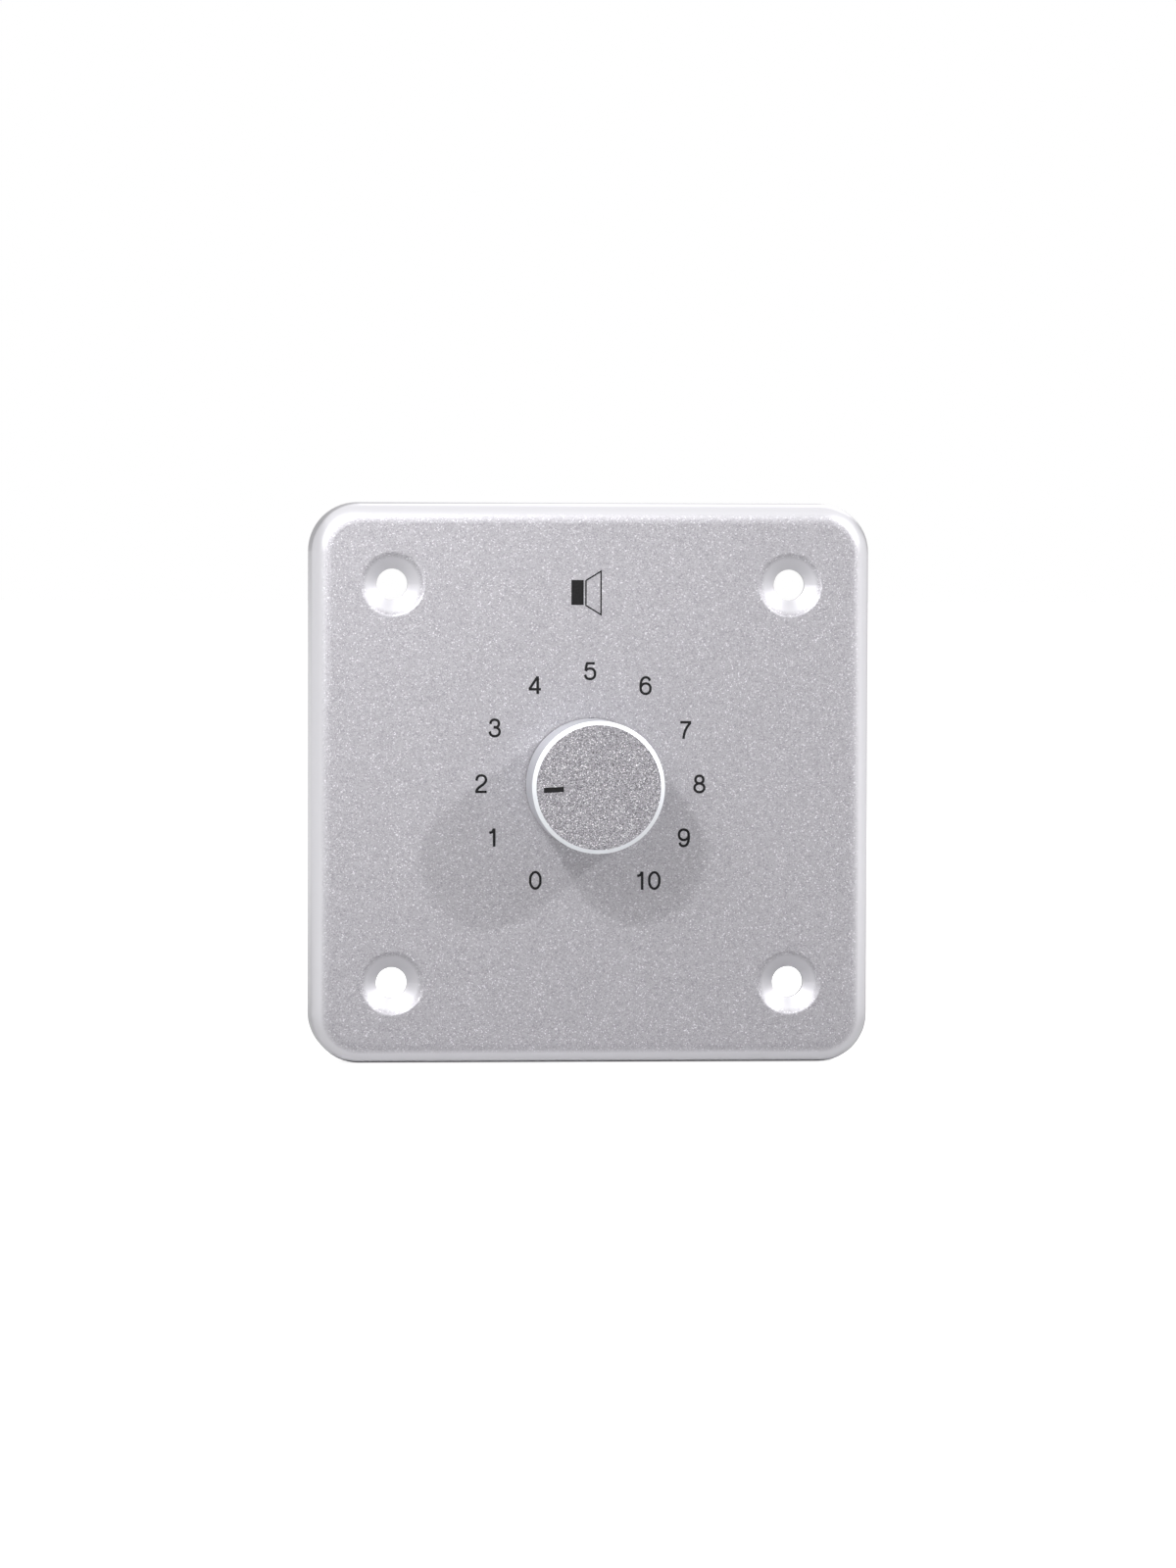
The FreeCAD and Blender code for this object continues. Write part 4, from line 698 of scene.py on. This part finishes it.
def printed_pictogram(ink):
    """Loudspeaker sign: a filled magnet and an outlined cone."""
    half = MAGNET_HEIGHT / 2
    magnet_z, cone_z = PICTOGRAM_Z + MAGNET_LIFT, PICTOGRAM_Z + CONE_LIFT
    magnet = rectangle(MAGNET_LEFT, magnet_z - half, MAGNET_RIGHT, magnet_z + half)
    back, mouth = CONE_BACK_HEIGHT / 2, CONE_MOUTH_HEIGHT / 2
    cone = [(CONE_LEFT, cone_z - back), (CONE_RIGHT, cone_z - mouth),
            (CONE_RIGHT, cone_z + mouth), (CONE_LEFT, cone_z + back)]
    for name, corners, line in (("magnet", magnet, None), ("cone", cone, PICTOGRAM_LINE)):
        places = [(x, FACE_Y, z) for x, z in corners]
        piece(f"pictogram_{name}", lambda bm: raised_outline(bm, places, (0, -INK_THICKNESS, 0), line),
              ink, "panel")


def pointer_paint(ink):
    """Black paint that fills the groove in the knob's top."""
    def build(bm):
        bmesh.ops.create_cube(bm, size=1.0)
        size = Matrix.Diagonal((POINTER_WIDTH - POINTER_WALL_GAP, POINTER_DEPTH - POINTER_PAINT_DROP,
                                POINTER_LENGTH - POINTER_WALL_GAP, 1))
        middle = (0, KNOB_TOP_Y + (POINTER_DEPTH + POINTER_PAINT_DROP) / 2,
                  POINTER_INNER_R + POINTER_LENGTH / 2)
        turn = Matrix.Rotation(math.radians(POINTER_DEG), 4, "Y")
        bmesh.ops.transform(bm, matrix=turn @ Matrix.Translation(middle) @ size, verts=bm.verts)
    piece("pointer_paint", build, ink, "dial")


def contact_places():
    """The x and z of the common pin and of each outer contact of the switch, clockwise."""
    outer = [on_ring(CONTACT_CIRCLE_R, CONTACT_CIRCLE_R, FIRST_STEP_DEG + STEP_DEG * k)
             for k in range(STEPS)]
    return [(0.0, -COMMON_RING_R)] + outer


def bobbin_pin_places():
    """The x and z of the bobbin's pins, clockwise from the lower row's middle."""
    row = [BOBBIN_PIN_PITCH * (k - (BOBBIN_PINS - 1) / 2) for k in range(BOBBIN_PINS)]
    left, right = row[:BOBBIN_PINS // 2], row[BOBBIN_PINS // 2:]
    return ([(x, -BOBBIN_PIN_Z) for x in reversed(left)] + [(x, BOBBIN_PIN_Z) for x in row]
            + [(x, -BOBBIN_PIN_Z) for x in reversed(right)])


def terminal_pin_places():
    """The x and z of the terminal's pins."""
    return [(TERMINAL_PITCH * (k - (TERMINAL_POLES - 1) / 2), TERMINAL_PIN_Z)
            for k in range(TERMINAL_POLES)]


def spun(bm, profile, x, z, steps=20):
    """Surface of revolution about the line along Y through (x, z), from (radius, y) corners."""
    verts = [bm.verts.new((x + radius, y, z)) for radius, y in profile]
    edges = [bm.edges.new(pair) for pair in zip(verts, verts[1:])]
    bmesh.ops.spin(bm, geom=verts + edges, cent=(x, 0, z), axis=(0, 1, 0), angle=math.tau,
                   steps=steps, use_merge=True)


def solder_joints(name, places, pin_r, face_y, outward, solder):
    """Hollow-sided cones of solder round pins, on the side of the board that outward gives."""
    profile = [(0.0, -COPPER), (pin_r + SOLDER_REACH, -COPPER), (pin_r + SOLDER_REACH, COPPER)]
    for share in (0.25, 0.5, 0.75, 1.0):
        profile.append((pin_r + SOLDER_REACH * (1 - share) ** 2, COPPER + SOLDER_HEIGHT * share))
    profile.append((0.0, SOLDER_HEIGHT))
    corners = [(radius, face_y + outward * height) for radius, height in profile]

    def build(bm):
        for x, z in places:
            spun(bm, corners, x, z)
    piece(name, build, solder, "panel")


def bare_pads(solder):
    """Tinned rings round the screw holes, and tinned vias beside the traces."""
    def build(bm):
        for x in (-STUD_X, STUD_X):
            for z in (-STUD_Z, STUD_Z):
                for low, high in ((BOARD_FRONT_Y - COPPER, BOARD_FRONT_Y + COPPER),
                                  (BOARD_REAR_Y - COPPER, BOARD_REAR_Y + COPPER)):
                    spun(bm, [(STUD_HOLE_R, low), (SCREW_PAD_R, low), (SCREW_PAD_R, high),
                              (STUD_HOLE_R, high), (STUD_HOLE_R, low)], x, z, 40)
        for x, z in VIAS:
            low, high = BOARD_REAR_Y - COPPER, BOARD_REAR_Y + 2 * COPPER
            spun(bm, [(VIA_HOLE_R, low), (VIA_R, low), (VIA_R, high), (VIA_HOLE_R, high),
                      (VIA_HOLE_R, low)], x, z)
    piece("bare_pads", build, solder, "panel")


# Traces on the rear of the board, one of each pair: from an outer pin of the terminal round the
# side to the coil's last pin, from a middle pin to the coil, and a spur from the side to a via
SIDE_X = 23.6
SIDE_VIA_X = 25.8
SIDE_TRACE = [
    (1.5 * TERMINAL_PITCH, TERMINAL_PIN_Z), (9.0, TERMINAL_PIN_Z), (14.5, -16.5), (14.5, -13.6),
    (SIDE_X, -4.5), (SIDE_X, 4.5), (14.5, 13.6), (13.6, BOBBIN_PIN_Z),
    (2.5 * BOBBIN_PIN_PITCH, BOBBIN_PIN_Z),
]
MIDDLE_TRACE = [
    (0.5 * TERMINAL_PITCH, TERMINAL_PIN_Z), (0.5 * BOBBIN_PIN_PITCH, -18.0),
    (0.5 * BOBBIN_PIN_PITCH, -BOBBIN_PIN_Z),
]
SPUR_TRACE = [(SIDE_X, 0.0), (SIDE_VIA_X, 0.0)]

# The single trace over the top, between two pins of the coil, and the vias
TOP_Z = 21.3
TOP_PIN_X = 1.5 * BOBBIN_PIN_PITCH
TOP_TRACE = [(-TOP_PIN_X, BOBBIN_PIN_Z), (-TOP_PIN_X, 18.0), (-4.2, TOP_Z),
             (4.2, TOP_Z), (TOP_PIN_X, 18.0), (TOP_PIN_X, BOBBIN_PIN_Z)]
VIAS = [(SIDE_VIA_X, 0.0), (-SIDE_VIA_X, 0.0), (0.0, TOP_Z)]


def board_traces(copper):
    """Copper under the mask: contact to coil pin in front, terminal to coil behind."""
    fan = []
    for (x, z), (pin_x, pin_z) in zip(contact_places(), bobbin_pin_places()):
        corner_z = z + math.copysign(abs(pin_x - x), pin_z)
        fan.append((False, [(x, z), (pin_x, corner_z), (pin_x, pin_z)]))
    printed("front_traces", fan, TRACE_WIDTH, COPPER, BOARD_FRONT_Y, copper, "VECTOR")
    rear = [(False, TOP_TRACE)]
    for side in (-1, 1):
        for route in (SIDE_TRACE, MIDDLE_TRACE, SPUR_TRACE):
            rear.append((False, [(side * x, z) for x, z in route]))
    printed("rear_traces", rear, TRACE_WIDTH, COPPER, BOARD_REAR_Y, copper, "VECTOR")


def board_legend(ink):
    """Outlines of the terminal and the transformer, printed on the rear of the board."""
    margin = LEGEND_MARGIN
    terminal = rectangle(TERMINAL_LOW.x - margin, TERMINAL_LOW.z - margin / 2,
                         TERMINAL_HIGH.x + margin, TERMINAL_HIGH.z + margin)
    side_x, rail_z = CORE_HIGH.x - margin, RAIL_OUTER_Z + margin
    core_z, rail_x = CORE_HIGH.z + margin, WINDING_HIGH.x + 2 * margin
    strokes = [(True, terminal)]
    for side in (-1, 1):
        strokes.append((False, [(-side_x, side * core_z), (-rail_x, side * core_z), (-rail_x, side * rail_z),
                                (rail_x, side * rail_z), (rail_x, side * core_z), (side_x, side * core_z)]))
    printed("board_legend", strokes, LEGEND_LINE, LEGEND_HEIGHT, BOARD_REAR_Y, ink, "VECTOR")


def core_sheets(steel):
    """Edges of the core's E and I sheets, laid in turn from either end, each a little proud."""
    draw = random.Random(5)
    leg = (CORE_HIGH.x - CORE_LOW.x) / LEGS_ACROSS
    core_depth = CORE_HIGH.y - CORE_LOW.y
    pitch = (CORE_HIGH.z - CORE_LOW.z) / SHEETS
    bury = SHEET_STEP / 2

    def build(bm):
        for k in range(SHEETS):
            proud = SHEET_STEP * draw.uniform(0.3, 1.0)
            out_x, foot, end = CORE_HIGH.x + proud, -proud, core_depth + proud
            joint, window = leg + bury, core_depth - leg + bury
            strip = [(-out_x, foot), (out_x, foot), (out_x, leg - bury), (-out_x, leg - bury)]
            half = [(leg - bury, joint), (leg - bury, window), (2 * leg + bury, window),
                    (2 * leg + bury, joint), (out_x, joint), (out_x, end)]
            sheet = half + [(-x, y) for x, y in reversed(half)]
            z = CORE_LOW.z + pitch * k + SHEET_GAP / 2
            for outline in (strip, sheet):
                flip = k % 2
                places = [(x, CORE_HIGH.y - y if flip else CORE_LOW.y + y, z) for x, y in outline]
                raised_outline(bm, places, (0, 0, pitch - SHEET_GAP), SHEET_FRAME)
    piece("core_sheets", build, steel, "panel")


def coil_wires(wire):
    """Ends of the coil: over the flange, down a slot of the rail and round a pin."""
    strokes = []
    wrap_r = BOBBIN_PIN_R + WIRE_R
    wrap_y = BOARD_REAR_Y + WRAP_HEIGHT
    for x, pin_z in bobbin_pin_places():
        side = math.copysign(1, pin_z)
        edge_z = side * (RAIL_OUTER_Z - SLOT_DEPTH)
        points = [
            (x, WINDING_LOW.y + WIRE_START_DEPTH, side * (WINDING_HIGH.z - WIRE_START_IN)),
            (x, WINDING_LOW.y + WIRE_BEND_DEPTH, edge_z - side * BEND_RUN),
            (x, WINDING_LOW.y - BEND_RISE, edge_z),
            (x, BOARD_REAR_Y + SLOT_END_HEIGHT, edge_z),
            (x + WIRE_LEAN, wrap_y + WIRE_LEAD, edge_z - side * WIRE_SWING),
        ]
        for k in range(WRAP_TURNS * WRAP_POINTS + 1):
            angle = math.tau * k / WRAP_POINTS
            points.append((x + wrap_r * math.cos(angle), wrap_y - 2 * WIRE_R * k / WRAP_POINTS,
                           pin_z + wrap_r * math.sin(angle)))
        strokes.append((False, points))
    ends = drawn(strokes, 2 * WIRE_R, steps=3)
    piece("coil_wires", lambda bm: bm.from_mesh(ends), wire, "panel")


def tape_end(tape):
    """Last layer of the tape, which comes over a corner and is cut off on the top side."""
    low_y, high_y = WINDING_LOW.y + TAPE_MARGIN, WINDING_HIGH.y - TAPE_MARGIN
    inner_x = WINDING_LOW.x
    outer_x = inner_x - TAPE_THICKNESS
    corner_x, corner_z = inner_x + TAPE_CORNER_R, WINDING_HIGH.z - TAPE_CORNER_R

    def build(bm):
        section = rectangle(inner_x, low_y, outer_x, high_y)
        face = bm.faces.new([bm.verts.new((x, y, 0)) for x, y in section])
        climb = pulled(bm, [face], (0, 0, corner_z))
        bend = bmesh.ops.spin(bm, geom=faces_of(climb), cent=(corner_x, 0, corner_z), axis=(0, 1, 0),
                              angle=math.pi / 2, steps=8)["geom_last"]
        pulled(bm, faces_of(bend), (TAPE_END_X - corner_x, 0, 0))
        bmesh.ops.delete(bm, geom=faces_of(climb) + faces_of(bend), context="FACES_ONLY")
    piece("tape_end", build, tape, "panel")


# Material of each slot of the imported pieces
FINISHES = {
    "plate_metal": pressed_aluminium,
    "knob_metal": turned_knob_aluminium,
    "zinc_steel": zinc_plated_steel,
    "ball_steel": polished_ball_steel,
    "spring_steel": drawn_spring_wire,
    "contact_silver": silver_plating,
    "terminal_brass": nickel_plated_brass,
    "tinned_wire": tinned_copper_wire,
    "shaft_metal": turned_steel,
    "switch_plastic": black_polyamide,
    "rotor_plastic": natural_acetal,
    "core_plastic": grey_abs,
    "board_laminate": masked_laminate,
    "lamination_steel": core_steel,
    "bobbin_plastic": black_polyester,
    "winding_tape": polyester_tape,
    "terminal_plastic": green_polyamide,
}
finishes = {slot: make() for slot, make in FINISHES.items()}
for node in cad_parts.values():
    for slot in node.material_slots:
        slot.material = finishes[slot.material.name.split(".")[0]]

ink = screen_ink()
solder = tin_solder()
printed_numerals(ink)
printed_pictogram(ink)
pointer_paint(ink)
solder_joints("switch_solder", contact_places(), CONTACT_PIN_R, BOARD_REAR_Y, 1, solder)
solder_joints("coil_solder", bobbin_pin_places(), BOBBIN_PIN_R, BOARD_FRONT_Y, -1, solder)
solder_joints("terminal_solder", terminal_pin_places(), TERMINAL_PIN_R, BOARD_FRONT_Y, -1, solder)
bare_pads(solder)
board_traces(masked_copper())
board_legend(legend_ink())
core_sheets(finishes["lamination_steel"])
coil_wires(enamelled_wire())
tape_end(finishes["winding_tape"])

# Floor: half its width in metres, and how white the camera sees it
SWEEP = 6.0
FLOOR_WHITE = 0.85

# Glow of the floor that only metal mirrors: distances in metres where it starts and is full
FLOOR_GLOW_START = 0.05
FLOOR_BEHIND_FULL = 0.5
FLOOR_BEHIND = 0.63
FLOOR_BESIDE_FULL = 0.4
FLOOR_BESIDE = 0.8

# Surroundings: the plain fill, the level that metal mirrors from the front, and the glows on top
# of it, each with its axis, where it starts and is full, its strength and how it is joined
AMBIENT = 0.335
FRONT_LEVEL = 0.01
GLOWS = [
    ("Z", 0.3, 0.7, 0.87, "MAXIMUM"),
    ("X", 0.5, 0.95, 0.71, "MAXIMUM"),
    ("X", -0.4, -0.8, 0.57, "MAXIMUM"),
    ("Y", -1.0, -0.6, 0.42, "ADD"),
]


def ways_seen(tree):
    """Two shares: 1 for rays that the part mirrors, and 1 for what the camera itself sees."""
    rays = add(tree, "ShaderNodeLightPath").outputs
    looked_at = add(tree, "ShaderNodeMath", {0: rays["Is Camera Ray"], 1: rays["Is Transmission Ray"]},
                    operation="MAXIMUM").outputs[0]
    return rays["Is Glossy Ray"], looked_at


def studio_world():
    """White surroundings with a soft plain fill.

    What metal mirrors is a low level with glows, each of which rises along an axis."""
    world = bpy.data.worlds.new("studio")
    world.use_nodes = True
    tree = world.node_tree
    tree.nodes.clear()
    mirrored, looked_at = ways_seen(tree)
    direction = add(tree, "ShaderNodeTexCoord").outputs["Generated"]
    axes = add(tree, "ShaderNodeSeparateXYZ", {"Vector": direction}).outputs
    room = 0.0
    for axis, start, full, strength, joined in GLOWS:
        glow = add(tree, "ShaderNodeMapRange", {"Value": axes[axis], "From Min": start, "From Max": full,
                                                "To Min": 0.0, "To Max": strength},
                   interpolation_type="SMOOTHSTEP").outputs["Result"]
        room = add(tree, "ShaderNodeMath", {0: room, 1: glow}, operation=joined).outputs[0]
    room = add(tree, "ShaderNodeMath", {0: room, 1: FRONT_LEVEL}, operation="ADD").outputs[0]
    fill = add(tree, "ShaderNodeBackground", {"Color": grey(1.0), "Strength": AMBIENT})
    glows = add(tree, "ShaderNodeBackground", {"Color": grey(1.0), "Strength": room})
    white = add(tree, "ShaderNodeBackground", {"Color": grey(1.0), "Strength": 1.0})
    light = add(tree, "ShaderNodeMixShader", {0: mirrored, 1: fill.outputs[0], 2: glows.outputs[0]})
    last = add(tree, "ShaderNodeMixShader", {0: looked_at, 1: light.outputs[0], 2: white.outputs[0]})
    add(tree, "ShaderNodeOutputWorld", {"Surface": last.outputs[0]})
    bpy.context.scene.world = world


def pale_floor():
    """Matt white paper sweep: white to the camera, darker only where the part shades it."""
    material, tree, shader, place = new_material("white_paper")
    feed(tree, shader, {"Base Color": colour("#dcdcdc"), "Roughness": 0.9, "Specular IOR Level": 0.1})
    mirrored, looked_at = ways_seen(tree)
    white = add(tree, "ShaderNodeMath", {0: looked_at, 1: FLOOR_WHITE}, operation="MULTIPLY").outputs[0]
    axes = add(tree, "ShaderNodeSeparateXYZ", {"Vector": place}).outputs
    aside = add(tree, "ShaderNodeMath", {0: axes["X"]}, operation="ABSOLUTE").outputs[0]
    behind, beside = [
        add(tree, "ShaderNodeMapRange", {"Value": way, "From Min": FLOOR_GLOW_START, "From Max": full,
                                         "To Min": 0.0, "To Max": strength}).outputs["Result"]
        for way, full, strength in ((axes["Y"], FLOOR_BEHIND_FULL, FLOOR_BEHIND),
                                    (aside, FLOOR_BESIDE_FULL, FLOOR_BESIDE))]
    around = add(tree, "ShaderNodeMath", {0: behind, 1: beside}, operation="MAXIMUM").outputs[0]
    around = add(tree, "ShaderNodeMath", {0: mirrored, 1: around}, operation="MULTIPLY").outputs[0]
    strength = add(tree, "ShaderNodeMath", {0: white, 1: around}, operation="ADD").outputs[0]
    glow = add(tree, "ShaderNodeEmission", {"Color": grey(1.0), "Strength": strength})
    both = add(tree, "ShaderNodeAddShader", {0: shader.outputs[0], 1: glow.outputs[0]})
    tree.links.new(both.outputs[0], tree.nodes["Material Output"].inputs["Surface"])
    bm = bmesh.new()
    bmesh.ops.create_grid(bm, x_segments=1, y_segments=1, size=SWEEP)
    bmesh.ops.translate(bm, vec=(0, 0, FLOOR_Z * MM), verts=bm.verts)
    floor = finished("floor", bm, material)


def soft_lamp(name, toward, distance, size, power):
    """Square lamp at a distance from the plate's face, in the direction of a vector."""
    light = bpy.data.lights.new(name, "AREA")
    light.energy = power
    light.size = size
    made = bpy.data.objects.new(name, light)
    bpy.context.scene.collection.objects.link(made)
    direction = Vector(toward).normalized()
    made.location = Vector((0, FACE_Y * MM, 0)) + direction * distance
    made.rotation_mode = "QUATERNION"
    made.rotation_quaternion = direction.to_track_quat("Z", "Y")


# Lamps: name, direction from the plate's face, distance and size in metres, power in watts
LAMPS = [
    ("key_left", (-6.5, -12.7, 10.0), 0.35, 0.018, 0.52),
    ("key_right", (14.6, -12.7, 11.0), 0.6, 0.035, 1.95),
    ("corner", (-0.8, -1.0, 0.8), 0.25, 0.12, 0.25),
    ("rear", (0.4, 1.0, 0.8), 0.6, 0.4, 0.4),
]

studio_world()
pale_floor()
for settings in LAMPS:
    soft_lamp(*settings)

# Camera, slightly to the left and above, as in the photograph; its clip planes are in metres
CAMERA_AZIMUTH = math.radians(4.78)
CAMERA_ELEVATION = math.radians(2.28)
CAMERA_ROLL = math.radians(0.18)
CAMERA_DISTANCE = 899.0
CAMERA_TARGET = (-0.43, -8.5, -0.02)
CAMERA_LENS = 145.0
CAMERA_NEAR = 0.05
CAMERA_FAR = 20.0


def photograph_camera():
    """Camera at the photograph's angle."""
    back = Vector((-math.sin(CAMERA_AZIMUTH) * math.cos(CAMERA_ELEVATION),
                   -math.cos(CAMERA_AZIMUTH) * math.cos(CAMERA_ELEVATION),
                   math.sin(CAMERA_ELEVATION)))
    data = bpy.data.cameras.new("camera")
    data.lens = CAMERA_LENS
    data.clip_start, data.clip_end = CAMERA_NEAR, CAMERA_FAR
    made = bpy.data.objects.new("camera", data)
    bpy.context.scene.collection.objects.link(made)
    made.rotation_mode = "QUATERNION"
    level = back.to_track_quat("Z", "Y")
    made.rotation_quaternion = level @ Matrix.Rotation(CAMERA_ROLL, 3, "Z").to_quaternion()
    made.location = (Vector(CAMERA_TARGET) + back * CAMERA_DISTANCE) * MM
    bpy.context.scene.camera = made


photograph_camera()
bpy.context.scene.view_settings.view_transform = "Standard"
